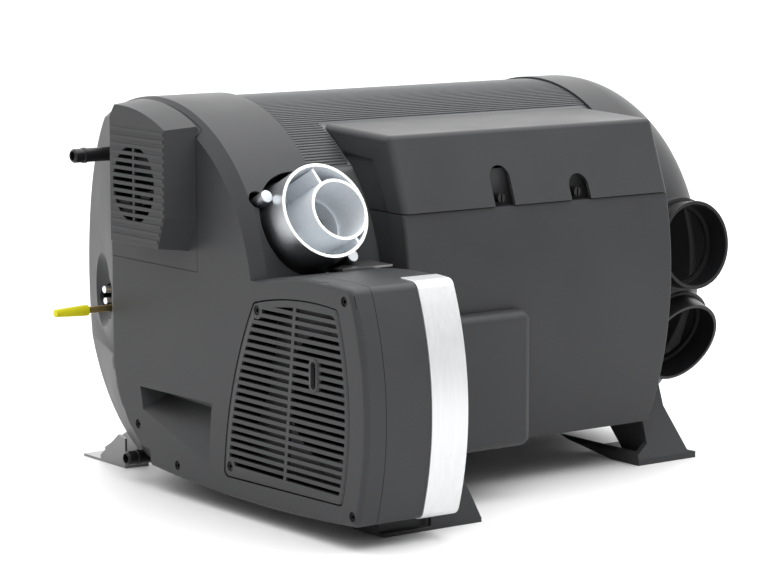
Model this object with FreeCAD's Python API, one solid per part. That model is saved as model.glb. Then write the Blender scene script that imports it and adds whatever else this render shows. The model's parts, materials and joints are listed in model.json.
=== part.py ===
import FreeCAD
import Part
import math
import os

# Combi heater: a drum lying along X, with an end housing and a blower snout at the -X end,
# warm-air outlets at the +X end, a flue stub and a service lid on the -Y side. Millimetres, +Z up.

# Drum
DRUM_R = 147.0
RIM_STEP = 2.5
RIM_R = DRUM_R + RIM_STEP
FLOOR_CLEAR = 3.0
AXIS_Y = 58.0
AXIS_Z = RIM_R + FLOOR_CLEAR
DRUM_WALL = 3.0
RIB_DEPTH = 1.0
RIB_COUNT = 150
RIB_START_DEG = 62.0
RIB_END_DEG = 330.0
DRUM_BACK_X = 168.0
SPIGOT_LENGTH = 14.0

# Clearances
FIT_GAP = 0.3
SHAFT_GAP = 0.05

# Front housing
WALL = 3.0
FACE_X = -206.0
BEVEL_R = 8.5
BEVEL_LENGTH = 9.0
HOUSING_BACK_X = -134.5
SLOPE_START_Y = 110.2
SLOPE_END_Y = 208.0
SLOPE_BACK_X = -169.3
SLOPE_LOW_Z = 100.0

# Snout
SNOUT_SPLIT_X = -189.0
SNOUT_BACK_X = -117.6
SNOUT_SIDE_R = 240.0
SNOUT_SIDE_Y = 17.2
SNOUT_SIDE_Z = 93.0
SNOUT_TOP_Z = 185.7
SNOUT_SHOULDER_Y = -82.5
SNOUT_SHOULDER_Z = 178.1
SNOUT_LOW_Z = 18.6
SNOUT_BELLY_Z = 13.0
SNOUT_CORNER_R = 7.0
SNOUT_EDGE_R = 4.0
BLOWER_WALL = 2.5

# Trim band
BAND_FRONT_X = -149.6
BAND_TOP_Y = -186.0
BAND_PROUD = 0.8
BAND_SUNK = 1.0
BAND_SLACK = 0.2

# Intake grille
GRILLE_SIDE_R = 220.0
GRILLE_THICK = 3.0
GRILLE_SUNK = 0.3
GRILLE_BORDER = 6.0
GRILLE_GROOVE = 1.2
SLAT_PITCH = 5.9
SLAT_GAP = 3.0
SLAT_LOW_Z = 38.0
SLAT_ROWS = 22
MULLION_WIDTH = 3.4
PEEP_Y = -159.6
PEEP_Z = 119.4
PEEP_HEIGHT = 20.0
PEEP_WIDTH = 6.0
PEEP_RIM = 2.0
SCREW_R = 3.4

# Grip recess and gas pocket
GRIP_DEPTH = 20.0
POCKET_R = 40.0
POCKET_X = -216.0
POCKET_Y = 159.0
POCKET_Z = 143.0
POCKET_HOLE_Y = 126.0
POCKET_HOLE_Z = 140.0
POCKET_HOLE_HALF_Y = 10.0
POCKET_HOLE_HALF_Z = 16.0

# Electronics cover
COVER_FRONT_X = -231.4
COVER_BACK_X = -200.4
COVER_RIGHT_Y = -10.1
COVER_BOTTOM_RISE = 23.7
COVER_BOTTOM_Z = AXIS_Z + COVER_BOTTOM_RISE
COVER_WALL = 2.5
COVER_TOP_STEP = 4.5
COVER_TOP_R = RIM_R - COVER_TOP_STEP
COVER_BOX_LEFT_Y = 70.5
COVER_BOX_RIGHT_Y = -6.0
COVER_BOX_RISE = 41.5
COVER_BOX_LOW_Z = AXIS_Z + COVER_BOX_RISE
COVER_DRAFT = 3.0
VENT_Y = 37.4
VENT_RISE = 86.7
VENT_Z = AXIS_Z + VENT_RISE
VENT_R = 28.9
VENT_PITCH = 5.75
VENT_GAP = 3.0
VENT_ROWS = 10
VENT_MULLION = 2.6
RIDGE_DEPTH = 0.7

# Flue
FLUE_X = -151.9
FLUE_MOUTH = 173.4
FLUE_ANGLE_DEG = 25.5
FLUE_R = 36.4
FLUE_WALL = 2.2
EXHAUST_R = 23.7
EXHAUST_SOCKET = 36.0
EXHAUST_LEDGE = 1.5
EXHAUST_WAY_R = EXHAUST_R - FLUE_WALL - EXHAUST_LEDGE
FLUE_BASE = 122.0
FLUE_BASE_THICK = 6.0
FLUE_FOOT_R = 39.0
FLUE_CUT_R = 41.5
LUG_R = 6.0
LUG_REACH = 43.5
LUG_DEGREES = (-65, 152)
FLUE_SCREW_R = 2.0
GASKET_THICK = 3.0
DUCT_FLANGE_THICK = 3.0
AIR_DUCT_R = 10.0
AIR_DUCT_X = -176.0
BRACKET_PLATE_Z = 184.0
BRACKET_PLATE_THICK = 1.5

# Side panel and service lid
PANEL_FRONT_X = -95.0
PANEL_BACK_X = 163.0
PANEL_TOP_Y = -116.5
PANEL_TOP_Z = 221.0
PANEL_BELLY_Y = -123.5
PANEL_BELLY_Z = 150.0
PANEL_LOW_Y = -98.2
PANEL_LOW_Z = 36.7
PANEL_WALL = 3.0
END_STEP = 1.5
END_BAND = 19.0
FIELD_BACK_X = 13.0
FIELD_LOW_Z = 40.0
FIELD_TOP_Z = 144.0
FIELD_Y = -136.0
FIELD_EDGE_R = 8.0
LID_WALL = 2.5
LID_SEAM = 0.8
LID_BACK_Y = -12.9
LID_BACK_Z = 281.0
LID_EDGE_Y = -97.5
LID_EDGE_Z = 277.8
LID_LOW_Y = -118.2
LID_EDGE_R = 5.0
NOTCH_WIDTH = 19.0
NOTCH_X = (-10.5, 58.0)
NOTCH_HEIGHT = (35.0, 24.0)
PEG_R = 3.5
PEG_Z = 231.5
PEG_TIP_Y = -113.0
UPSTAND_Y = -104.0
UPSTAND_THICK = 3.0
UPSTAND_HEIGHT = 28.0

# Rear cap and warm-air outlets
CAP_STEP = 1.5
CAP_R = DRUM_R + CAP_STEP
CAP_SHOULDER_X = 198.0
CAP_BULGE_X = 228.0
CAP_BULGE_STEP = 9.5
CAP_BULGE_R = CAP_R - CAP_BULGE_STEP
CAP_END_X = 250.0
CAP_END_STEP = 38.5
CAP_END_R = CAP_R - CAP_END_STEP
CAP_SPIGOT = 8.0
OUTLET_X = 204.0
OUTLET_HUB_RISE = 11.1
OUTLET_PROUD = 15.1
OUTLET_REACH = CAP_R + OUTLET_PROUD
OUTLET_SEAT = 8.5
OUTLET_START = CAP_R - OUTLET_SEAT
OUTLET_R = 34.6
OUTLET_SPACE = 0.45
OUTLET_UPPER_DEG = 4.0
OUTLET_LOWER_DEG = OUTLET_UPPER_DEG - 2 * math.degrees(math.asin((OUTLET_R + OUTLET_SPACE) / OUTLET_START))
OUTLET_WALL = 2.1
OUTLET_BORE_R = OUTLET_R - OUTLET_WALL
OUTLET_LEDGE_WIDTH = 2.5
OUTLET_LEDGE_R = OUTLET_BORE_R - OUTLET_LEDGE_WIDTH
OUTLET_LEDGE = 4.0
OUTLET_COLLAR = 2.6
COLLAR_STEP = 1.0
COLLAR_REACH = CAP_R - COLLAR_STEP

# Inside the drum
BULKHEAD_X = -163.0
BULKHEAD_THICK = 3.0
BULKHEAD_R = RIM_R - WALL - 0.5
CORE_SHARE = 0.3946
CORE_R = DRUM_R * CORE_SHARE
CORE_WALL = 6.0
CORE_BACK_X = 152.0
CORE_FLANGE_R = CORE_R + 10
CORE_FLANGE_THICK = 5.0
FIN_SHARE = 0.544
FIN_R = DRUM_R * FIN_SHARE
FIN_COUNT = 20
FIN_THICK = 2.5
FIN_FRONT_X = -108.0
FIN_BACK_X = 138.0
BURNER_SHARE = 0.19
BURNER_R = DRUM_R * BURNER_SHARE
BURNER_WALL = 2.0
BURNER_BACK_X = 10.0
TANK_SHARE = 0.857
TANK_R = DRUM_R * TANK_SHARE
TANK_BORE_SHARE = 0.626
TANK_BORE_R = DRUM_R * TANK_BORE_SHARE
TANK_WALL = 2.0
TANK_FRONT_X = -105.0
TANK_BACK_X = 130.0
SUPPORT_LENGTH = 12.0
SUPPORT_WIDTH = 24.0
SPIDER_X = 142.0
SPIDER_THICK = 5.0
SPIDER_HUB_R = CORE_R + 8
SPIDER_ARM_WIDTH = 18.0

# Combustion fan
CAN_SHARE = 0.313
CAN_R = DRUM_R * CAN_SHARE
CAN_FRONT_X = -188.0
CAN_WALL = 2.5
BURNER_FAN_CLEAR = 10.0
BURNER_FAN_R = CAN_R - BURNER_FAN_CLEAR
BURNER_FAN_WIDTH = 12.0
BURNER_FAN_BLADES = 9
BURNER_MOTOR_R = 22.0
BURNER_MOTOR_LENGTH = 12.0
BURNER_SHAFT_R = 2.0

# Circulation fan
FAN_Y = -150.0
FAN_Z = 100.0
FAN_R = 58.0
FAN_FRONT_X = -180.0
FAN_BACK_X = -152.0
FAN_BLADES = 26
FAN_BLADE_DEPTH = 11.0
FAN_BLADE_THICK = 1.5
FAN_HUB_R = 10.0
FAN_SHAFT_R = 3.0
FAN_MOTOR_R = 32.0
FAN_MOTOR_LENGTH = 27.0
INLET_R = 46.0
INLET_THICK = 2.0
INLET_LIP = 6.5

# Water, gas and control
PIPE_R = 5.4
PIPE_BORE_R = 3.6
HOT_Y = AXIS_Y + 0.413 * DRUM_R
HOT_Z = AXIS_Z + 0.6925 * DRUM_R
HOT_TIP_X = -236.0
COLD_Y = AXIS_Y + 0.253 * DRUM_R
COLD_Z = AXIS_Z - 0.9116 * DRUM_R
COLD_TIP_X = -206.0
COLD_PORT_Z = AXIS_Z - 0.738 * DRUM_R
GAS_Y = 124.3
GAS_Z = 133.0
GAS_PIPE_R = 2.6
GAS_PIPE_TIP_X = -232.0
GAS_CAP_R = 4.3
GAS_CAP_TIP_X = -250.0
GAS_CAP_MOUTH_X = -221.0
NUT_R = 7.5
NUT_LENGTH = 7.0
VALVE_FRONT_X = -175.0
VALVE_HALF_Y = 13.0
VALVE_LOW_Z = 118.0
VALVE_TOP_Z = 150.0
COIL_R = 5.5
COIL_HEIGHT = 18.0
BOARD_GAP = 8.0
BOARD_THICK = 1.6
BOARD_SIDE_MARGIN = 9.0
BOARD_LOW_MARGIN = 5.0
BOARD_TOP_MARGIN = 10.0
TRAY_THICK = 2.5

# Feet
BRACKET_FRONT_X = -186.0
BRACKET_BACK_X = -150.0
BRACKET_IN_Y = 146.0
BRACKET_OUT_Y = 204.0
BRACKET_THICK = 2.0
FOOT_HOLE_R = 3.2
FRONT_FOOT_X = -70.6
FRONT_FOOT_THICK = 3.0
FRONT_FOOT_OUT_Y = -180.0
FRONT_FOOT_IN_Y = -142.0
FRONT_FOOT_HOLE_X = -92.0
FRONT_FOOT_HOLE_Y = -159.0
FRONT_FOOT_GUSSET_Z = 92.0
REAR_FOOT_FRONT_X = 155.0
REAR_FOOT_BACK_X = 216.0
REAR_FOOT_OUT_Y = -95.6
REAR_FOOT_IN_Y = -62.0
REAR_FOOT_THICK = 5.0
REAR_FOOT_HOLE_Y = -79.0
REAR_FOOT_HOLE_X = 172.0


def vec(x, y, z):
    return FreeCAD.Vector(x, y, z)


X_DIR = vec(1, 0, 0)
Z_DIR = vec(0, 0, 1)
FAR = 400.0


def box(x0, x1, y0, y1, z0, z1):
    return Part.makeBox(x1 - x0, y1 - y0, z1 - z0, vec(x0, y0, z0))


def rod_x(y, z, radius, x0, x1):
    return Part.makeCylinder(radius, x1 - x0, vec(x0, y, z), X_DIR)


def on_axis(radius, x0, x1):
    return rod_x(AXIS_Y, AXIS_Z, radius, x0, x1)


def ring_x(radius, bore, x0, x1):
    return on_axis(radius, x0, x1).cut(on_axis(bore, x0, x1))


def line(a, b):
    return Part.makeLine(vec(0, *a), vec(0, *b))


def arc(a, b, c):
    return Part.Arc(vec(0, *a), vec(0, *b), vec(0, *c)).toShape()


def section(points):
    corners = [vec(0, *p) for p in points]
    return Part.Face(Part.makePolygon(corners + corners[:1]))


def along_x(face, x0, x1):
    return face.translated(vec(x0, 0, 0)).extrude(vec(x1 - x0, 0, 0))


def along_y(points, y0, y1):
    corners = [vec(x, y0, z) for x, z in points]
    return Part.Face(Part.makePolygon(corners + corners[:1])).extrude(vec(0, y1 - y0, 0))


def turned(points):
    corners = [vec(x, AXIS_Y, AXIS_Z + r) for x, r in points]
    face = Part.Face(Part.makePolygon(corners + corners[:1]))
    return face.revolve(vec(0, AXIS_Y, AXIS_Z), X_DIR, 360)


def radial(degrees):
    a = math.radians(degrees)
    return vec(0, -math.cos(a), math.sin(a))


def circle_y(radius, centre_y, centre_z, z):
    return centre_y - math.sqrt(radius ** 2 - (z - centre_z) ** 2)


def fuse_all(shapes):
    return shapes[0].multiFuse(shapes[1:]).removeSplitter()


def fillet(solid, radius, wanted):
    edges = [e for e in solid.Edges if wanted(e)]
    return solid.makeFillet(radius, edges)


def edge_middle(edge):
    return edge.valueAt((edge.FirstParameter + edge.LastParameter) / 2)


def runs_along_x(edge):
    return edge.BoundBox.YLength + edge.BoundBox.ZLength < 0.01


# Snout section, shared by the front housing, the blower housing and the trim band
def snout_side_y(z):
    return circle_y(SNOUT_SIDE_R, SNOUT_SIDE_Y, SNOUT_SIDE_Z, z)


def snout_section():
    shoulder = (SNOUT_SHOULDER_Y, SNOUT_SHOULDER_Z)
    crest = (snout_side_y(SNOUT_TOP_Z), SNOUT_TOP_Z)
    heel = (snout_side_y(SNOUT_LOW_Z), SNOUT_LOW_Z)
    root_top = (AXIS_Y, SNOUT_SHOULDER_Z)
    root_low = (AXIS_Y, SNOUT_LOW_Z)
    rise = (SNOUT_TOP_Z - SNOUT_SHOULDER_Z) / 8
    arch = ((shoulder[0] + crest[0]) / 2, (SNOUT_SHOULDER_Z + SNOUT_TOP_Z) / 2 + 5 * rise)
    belly = (snout_side_y(SNOUT_SIDE_Z), SNOUT_SIDE_Z)
    keel = ((heel[0] + root_low[0]) / 2, SNOUT_BELLY_Z)
    edges = [line(root_top, shoulder), arc(shoulder, arch, crest), arc(crest, belly, heel),
             arc(heel, keel, root_low), line(root_low, root_top)]
    return Part.Face(Part.Wire(edges))


def snout(inset, x0, x1):
    face = snout_section()
    if inset:
        face = face.makeOffset2D(-inset, 2)
    solid = along_x(face, x0, x1)
    radius = max(SNOUT_CORNER_R - inset, 1.0)
    return fillet(solid, radius, lambda e: runs_along_x(e) and edge_middle(e).y < SNOUT_SHOULDER_Y - 20)


# Front housing
def slope_wire(x, left, low, bend, foot, keel, inset):
    top = AXIS_Z + RIM_R + 30
    a = (-FAR, top)
    b = (left - inset, top)
    c = (left - inset, low)
    d = (bend[0] - inset, bend[1] + inset)
    e = (foot[0], foot[1] + inset)
    f = (-FAR, keel + inset)
    edges = [line(a, b), line(b, c), arc(c, d, e), line(e, f), line(f, a)]
    return Part.Wire(edges).translated(vec(x, 0, 0))


def slope_block(inset, back):
    near = slope_wire(FACE_X + inset, SLOPE_START_Y, SLOPE_LOW_Z, (97, 60), (70, 33), 0, inset)
    far = slope_wire(SLOPE_BACK_X + inset, SLOPE_END_Y, SLOPE_LOW_Z, (172, 40), (115, 4), -20, inset)
    end = slope_wire(back, SLOPE_END_Y, SLOPE_LOW_Z, (172, 40), (115, 4), -20, inset)
    return Part.makeLoft([near, far, end], True, True)


def grip_recess(inset):
    g = inset
    mouth = [(72.6 + g, 79 + g), (-28.3 - g, 80 + g), (-23 - g, 32 - 2 * g), (68.6 + g, 61 - g)]
    floor = [(66 + g, 78 + g), (-22 - g, 79 + g), (-21 - g, 70 - g), (64 + g, 72 - g)]
    wires = []
    for points, x in ((mouth, FACE_X - 1), (floor, FACE_X + GRIP_DEPTH + inset)):
        corners = [vec(x, *p) for p in points]
        wires.append(Part.makePolygon(corners + corners[:1]))
    return Part.makeLoft(wires, True, True)


def gas_pocket(inset):
    return Part.makeSphere(POCKET_R + inset, vec(POCKET_X, POCKET_Y, POCKET_Z))


def housing_body(inset):
    back = HOUSING_BACK_X + (1 if inset else 0)
    face = FACE_X + inset
    bevel = BEVEL_LENGTH - inset / 3
    rim = RIM_R - inset
    disc = turned([(face, 0), (face, rim - BEVEL_R), (face + bevel, rim), (back, rim), (back, 0)])
    disc = disc.common(slope_block(inset, back))
    split = SNOUT_SPLIT_X + (1 if inset else 0)
    front = snout(inset, face, split)
    if not inset:
        front = fillet(front, SNOUT_EDGE_R, lambda e: e.BoundBox.XMax < FACE_X + 0.01
                       and edge_middle(e).y < SNOUT_SHOULDER_Y + 60 and edge_middle(e).y < AXIS_Y - 10)
    return disc.fuse(front).cut(grip_recess(inset)).cut(gas_pocket(inset))


def flue_line(distance, x=FLUE_X):
    direction = radial(FLUE_ANGLE_DEG)
    return vec(x, AXIS_Y, AXIS_Z) + direction * distance


def flue_rod(radius, near, far, x=FLUE_X):
    return Part.makeCylinder(radius, far - near, flue_line(near, x), radial(FLUE_ANGLE_DEG))


def flue_screw_rods(radius, near, far):
    rods = []
    for degrees in LUG_DEGREES:
        a = math.radians(degrees)
        along = FLUE_X + LUG_REACH * math.cos(a)
        across = radial(FLUE_ANGLE_DEG + 90) * (LUG_REACH * math.sin(a))
        rods.append(Part.makeCylinder(radius, far - near, flue_line(near, along) + across, radial(FLUE_ANGLE_DEG)))
    return rods


def flue_clear():
    near = FLUE_BASE - 40
    far = FLUE_MOUTH + 20
    return [flue_rod(FLUE_CUT_R, near, far)] + flue_screw_rods(LUG_R + 1, near, far)


def air_window():
    return box(BULKHEAD_X + 8, SNOUT_BACK_X - 8, -FAR, AXIS_Y - 110, 70, 145)


def cover_window(gap):
    return box(FACE_X - 50, COVER_BACK_X + gap, COVER_RIGHT_Y - gap, SLOPE_START_Y + gap,
               COVER_BOTTOM_Z - gap, FAR)


def pocket_hole():
    half = POCKET_HOLE_HALF_Z - POCKET_HOLE_HALF_Y
    low = rod_x(POCKET_HOLE_Y, POCKET_HOLE_Z - half, POCKET_HOLE_HALF_Y, FACE_X, BULKHEAD_X)
    high = rod_x(POCKET_HOLE_Y, POCKET_HOLE_Z + half, POCKET_HOLE_HALF_Y, FACE_X, BULKHEAD_X)
    middle = box(FACE_X, BULKHEAD_X, POCKET_HOLE_Y - POCKET_HOLE_HALF_Y, POCKET_HOLE_Y + POCKET_HOLE_HALF_Y,
                 POCKET_HOLE_Z - half, POCKET_HOLE_Z + half)
    return fuse_all([low, high, middle])


BEZEL_SCREWS = ((-196.5, 176.5), (-206.0, 26.0))
FACE_SCREWS = ((76.0, 49.0), (20.0, 25.5))
GRILLE_SCREWS = ((-51.5, 36.7), (-88.0, 157.3))


def screw_holes(places, radius):
    return [rod_x(y, z, radius, FACE_X - 1, SNOUT_SPLIT_X) for y, z in places]


def front_housing():
    shell = housing_body(0).cut(housing_body(WALL))
    cuts = [grille_block(0, FACE_X - 1, FACE_X + WALL + 1), cover_window(0), air_window(), pocket_hole(),
            rod_x(HOT_Y, HOT_Z, PIPE_R + FIT_GAP, COVER_FRONT_X, BULKHEAD_X),
            rod_x(COLD_Y, COLD_Z, PIPE_R + FIT_GAP, COVER_FRONT_X, BULKHEAD_X)]
    cuts += flue_clear()
    cuts += screw_holes(BEZEL_SCREWS, SCREW_R + FIT_GAP)
    cuts += screw_holes(FACE_SCREWS, SCREW_R + FIT_GAP)
    return shell.cut(cuts)


# Intake grille
def grille_side_y(z):
    return circle_y(GRILLE_SIDE_R, SNOUT_SIDE_Y, SNOUT_SIDE_Z, z)


def grille_section():
    top_left = (-84.0, 163.0)
    top_right = (grille_side_y(170), 170.0)
    low_right = (grille_side_y(31), 31.0)
    low_left = (-43.5, 28.0)
    edges = [arc(top_left, (-130.0, 170.5), top_right),
             arc(top_right, (grille_side_y(SNOUT_SIDE_Z), SNOUT_SIDE_Z), low_right),
             line(low_right, low_left), arc(low_left, (-54.0, 92.0), top_left)]
    return Part.Face(Part.Wire(edges))


def grille_block(inset, x0, x1):
    face = grille_section()
    if inset:
        face = face.makeOffset2D(-inset)
    return fillet(along_x(face, x0, x1), 5.0, runs_along_x)


def mullion():
    top = (-137.0, 175.0)
    low = (-121.0, 25.0)
    half = MULLION_WIDTH / 2
    return along_x(section([(top[0] - half, top[1]), (top[0] + half, top[1]), (low[0] + half, low[1]),
                            (low[0] - half, low[1])]), FACE_X - 1, FACE_X + 10)


def upright_slot(width, height, x0, x1):
    half = (height - width) / 2
    ends = [rod_x(PEEP_Y, PEEP_Z + s * half, width / 2, x0, x1) for s in (-1, 1)]
    middle = box(x0, x1, PEEP_Y - width / 2, PEEP_Y + width / 2, PEEP_Z - half, PEEP_Z + half)
    return fuse_all(ends + [middle])


def intake_grille():
    back = FACE_X + GRILLE_THICK
    plate = grille_block(GRILLE_GROOVE, FACE_X + GRILLE_SUNK, back)
    ledge = grille_block(FIT_GAP, back - 1, back)
    plate = plate.fuse(ledge)
    rows = [box(FACE_X - 1, back + 1, -FAR, 0, SLAT_LOW_Z + i * SLAT_PITCH, SLAT_LOW_Z + i * SLAT_PITCH + SLAT_GAP)
            for i in range(SLAT_ROWS)]
    slots = Part.makeCompound(rows).common(grille_block(GRILLE_BORDER, FACE_X - 1, back + 1))
    land = 2 * PEEP_RIM + 2
    rim = upright_slot(PEEP_WIDTH + land, PEEP_HEIGHT + land, FACE_X - 1, back + 1)
    bosses = [rod_x(y, z, SCREW_R + 3, FACE_X - 1, back + 1) for y, z in GRILLE_SCREWS]
    slots = slots.cut([mullion(), rim] + bosses)
    raised = upright_slot(PEEP_WIDTH + 2 * PEEP_RIM, PEEP_HEIGHT + 2 * PEEP_RIM, FACE_X - 0.6, FACE_X + 0.5)
    plate = plate.cut(slots).fuse(raised)
    holes = [rod_x(y, z, SCREW_R + FIT_GAP, FACE_X - 1, back + 1) for y, z in GRILLE_SCREWS]
    return plate.cut([upright_slot(PEEP_WIDTH, PEEP_HEIGHT, FACE_X - 2, back + 1)] + holes)


def screw_heads(places, depth):
    heads = []
    for y, z in places:
        head = rod_x(y, z, SCREW_R, FACE_X + 0.8, FACE_X + 0.8 + depth)
        socket = rod_x(y, z, SCREW_R * 0.45, FACE_X, FACE_X + 0.8 + depth * 0.5)
        heads.append(head.cut(socket))
    return Part.makeCompound(heads)


# Electronics cover
def cover_profile(x, spread, inset):
    left = COVER_BOX_LEFT_Y + spread - inset
    right = COVER_BOX_RIGHT_Y - spread + inset
    low = COVER_BOX_LOW_Z - spread + inset
    top_r = COVER_TOP_R + spread - inset
    corner_z = AXIS_Z + math.sqrt(top_r ** 2 - (AXIS_Y - right) ** 2)
    edge_z = AXIS_Z + math.sqrt(top_r ** 2 - (left - 7 - AXIS_Y) ** 2)
    top = (AXIS_Y - 12, AXIS_Z + math.sqrt(top_r ** 2 - 144))
    edges = [line((left, low), (right + 10, low)), line((right + 10, low), (right + 1, low + 24)),
             line((right + 1, low + 24), (right, corner_z)), arc((right, corner_z), top, (left - 7, edge_z)),
             line((left - 7, edge_z), (left, edge_z - 9)), line((left, edge_z - 9), (left, low))]
    return Part.Wire(edges).translated(vec(x, 0, 0))


def cover_box(inset, front, back):
    wires = [cover_profile(front, 0, inset), cover_profile(back, COVER_DRAFT, inset)]
    return Part.makeLoft(wires, True, True)


def vent_rows(height, first_z, count, depth0, depth1):
    return [box(depth0, depth1, -FAR, FAR, first_z + i * VENT_PITCH, first_z + i * VENT_PITCH + height)
            for i in range(count)]


def electronics_cover():
    window = cover_window(-FIT_GAP)
    flange = housing_body(0).common(window)
    outer = flange.fuse(cover_box(0, COVER_FRONT_X, FACE_X + 1))
    rim = FIT_GAP + COVER_WALL
    inner = housing_body(COVER_WALL).common(box(FACE_X, COVER_BACK_X + 1, COVER_RIGHT_Y + rim, SLOPE_START_Y - rim,
                                                COVER_BOTTOM_Z + rim, FAR))
    hollow = cover_box(COVER_WALL, COVER_FRONT_X + COVER_WALL, FACE_X + COVER_WALL + 1)
    first = VENT_Z - VENT_PITCH * VENT_ROWS / 2 + (VENT_PITCH - VENT_GAP) / 2
    ridge_low = first - VENT_PITCH + VENT_GAP - 2 * VENT_PITCH
    ridges = vent_rows(VENT_PITCH - VENT_GAP, ridge_low, VENT_ROWS + 5, COVER_FRONT_X - RIDGE_DEPTH, COVER_FRONT_X)
    band = cover_box(1.0, COVER_FRONT_X - RIDGE_DEPTH, FACE_X)
    ridges = Part.makeCompound(ridges).common(band)
    slots = vent_rows(VENT_GAP, first, VENT_ROWS, COVER_FRONT_X - 2, COVER_FRONT_X + COVER_WALL + 2)
    disc = rod_x(VENT_Y, VENT_Z, VENT_R, COVER_FRONT_X - 2, COVER_FRONT_X + COVER_WALL + 2)
    slots = Part.makeCompound(slots).common(disc)
    bar = box(COVER_FRONT_X - 3, COVER_FRONT_X + 9, VENT_Y - VENT_MULLION / 2, VENT_Y + VENT_MULLION / 2, 0, FAR)
    shell = outer.cut([inner, hollow]).fuse(ridges.Solids)
    return shell.cut(slots.cut(bar))


def board_box():
    top = AXIS_Z + math.sqrt(COVER_TOP_R ** 2 - (AXIS_Y - COVER_BOX_RIGHT_Y) ** 2) - BOARD_TOP_MARGIN
    return (COVER_BOX_RIGHT_Y + BOARD_SIDE_MARGIN, COVER_BOX_LEFT_Y - BOARD_SIDE_MARGIN,
            COVER_BOX_LOW_Z + BOARD_LOW_MARGIN, top)


def board_tray():
    front = FACE_X + COVER_WALL
    plate = box(front, front + TRAY_THICK, COVER_RIGHT_Y + 6, SLOPE_START_Y - 6, COVER_BOTTOM_Z + 5, FAR)
    plate = plate.common(on_axis(RIM_R - BEVEL_R - 8, front, front + TRAY_THICK))
    y0, y1, z0, z1 = board_box()
    posts = [rod_x(y, z, 3.0, front - BOARD_GAP, front) for y in (y0 + 5, y1 - 5) for z in (z0 + 5, z1 - 5)]
    return fuse_all([plate] + posts)


def control_board():
    back = FACE_X + COVER_WALL - BOARD_GAP
    y0, y1, z0, z1 = board_box()
    return box(back - BOARD_THICK, back, y0, y1, z0, z1)


def board_components():
    front = FACE_X + COVER_WALL - BOARD_GAP - BOARD_THICK
    y0, y1, z0, z1 = board_box()
    wide = (y1 - y0) / 10
    tall = (z1 - z0) / 10
    places = ((1, 3.6, 1, 3.2, 12), (4.4, 6.3, 0.8, 3.6, 9), (7, 9.2, 0.7, 2.3, 8), (1.4, 3.4, 6.6, 9.1, 10),
              (4.7, 8.9, 6.9, 8.5, 7))
    return Part.makeCompound([box(front - h, front, y0 + a * wide, y0 + b * wide, z0 + c * tall, z0 + d * tall)
                              for a, b, c, d, h in places])


# Blower housing, trim band and circulation fan
def drum_clear():
    return on_axis(RIM_R + FIT_GAP, FACE_X - 50, SNOUT_BACK_X + 80)


def band_zone(outset, slack):
    front = BAND_FRONT_X + slack
    ring = snout(-outset, front, SNOUT_BACK_X).cut(snout(BAND_SUNK, front - 1, SNOUT_BACK_X + 1))
    return ring.common(box(-FAR, FAR, -FAR, BAND_TOP_Y - slack, 0, FAR))


def blower_housing():
    outer = snout(0, SNOUT_SPLIT_X, SNOUT_BACK_X)
    inner = snout(BLOWER_WALL, SNOUT_SPLIT_X - 1, SNOUT_BACK_X - BLOWER_WALL)
    return outer.cut([inner, drum_clear(), band_zone(BAND_PROUD + 1, 0)])


def trim_band():
    return band_zone(BAND_PROUD, BAND_SLACK)


def inlet_plate():
    start = SNOUT_SPLIT_X + 0.2
    plate = snout(BLOWER_WALL + FIT_GAP, start, start + INLET_THICK).cut(drum_clear())
    lip = rod_x(FAN_Y, FAN_Z, INLET_R + INLET_THICK, start, start + INLET_LIP)
    return plate.fuse(lip).cut(rod_x(FAN_Y, FAN_Z, INLET_R, start - 1, start + INLET_LIP + 1))


def fan_rod(radius, x0, x1):
    return rod_x(FAN_Y, FAN_Z, radius, x0, x1)


def fan_wheel():
    back_plate = fan_rod(FAN_R, FAN_BACK_X - 2, FAN_BACK_X)
    front_ring = fan_rod(FAN_R, FAN_FRONT_X, FAN_FRONT_X + 2).cut(fan_rod(FAN_R - FAN_BLADE_DEPTH,
                                                                          FAN_FRONT_X, FAN_FRONT_X + 2))
    hub = fan_rod(FAN_HUB_R, FAN_BACK_X - 16, FAN_BACK_X)
    inside = FAN_R - FAN_BLADE_DEPTH
    half = FAN_BLADE_THICK / 2
    blade = box(FAN_FRONT_X, FAN_BACK_X, FAN_Y - half, FAN_Y + half, FAN_Z + inside + 0.5, FAN_Z + FAN_R - 0.5)
    blade.rotate(vec(0, FAN_Y, FAN_Z + inside), X_DIR, 24)
    blades = []
    for i in range(FAN_BLADES):
        copy = blade.copy()
        copy.rotate(vec(0, FAN_Y, FAN_Z), X_DIR, i * 360 / FAN_BLADES)
        blades.append(copy)
    wheel = back_plate.multiFuse([front_ring, hub] + blades)
    wheel = wheel.common(fan_rod(FAN_R, FAN_FRONT_X, FAN_BACK_X))
    return wheel.cut(fan_rod(FAN_SHAFT_R, FAN_FRONT_X, FAN_BACK_X + 1))


def fan_motor_front():
    return SNOUT_BACK_X - BLOWER_WALL - FAN_MOTOR_LENGTH


def fan_motor():
    front = fan_motor_front()
    back = front + FAN_MOTOR_LENGTH
    body = fan_rod(FAN_MOTOR_R, front + 3, back).fuse(fan_rod(FAN_MOTOR_R * 0.4, front, front + 3))
    return body.cut(fan_rod(FAN_SHAFT_R + SHAFT_GAP, front - 1, back - 4))


def fan_shaft():
    return fan_rod(FAN_SHAFT_R, FAN_BACK_X - 18, fan_motor_front() + FAN_MOTOR_LENGTH - 5)


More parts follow.
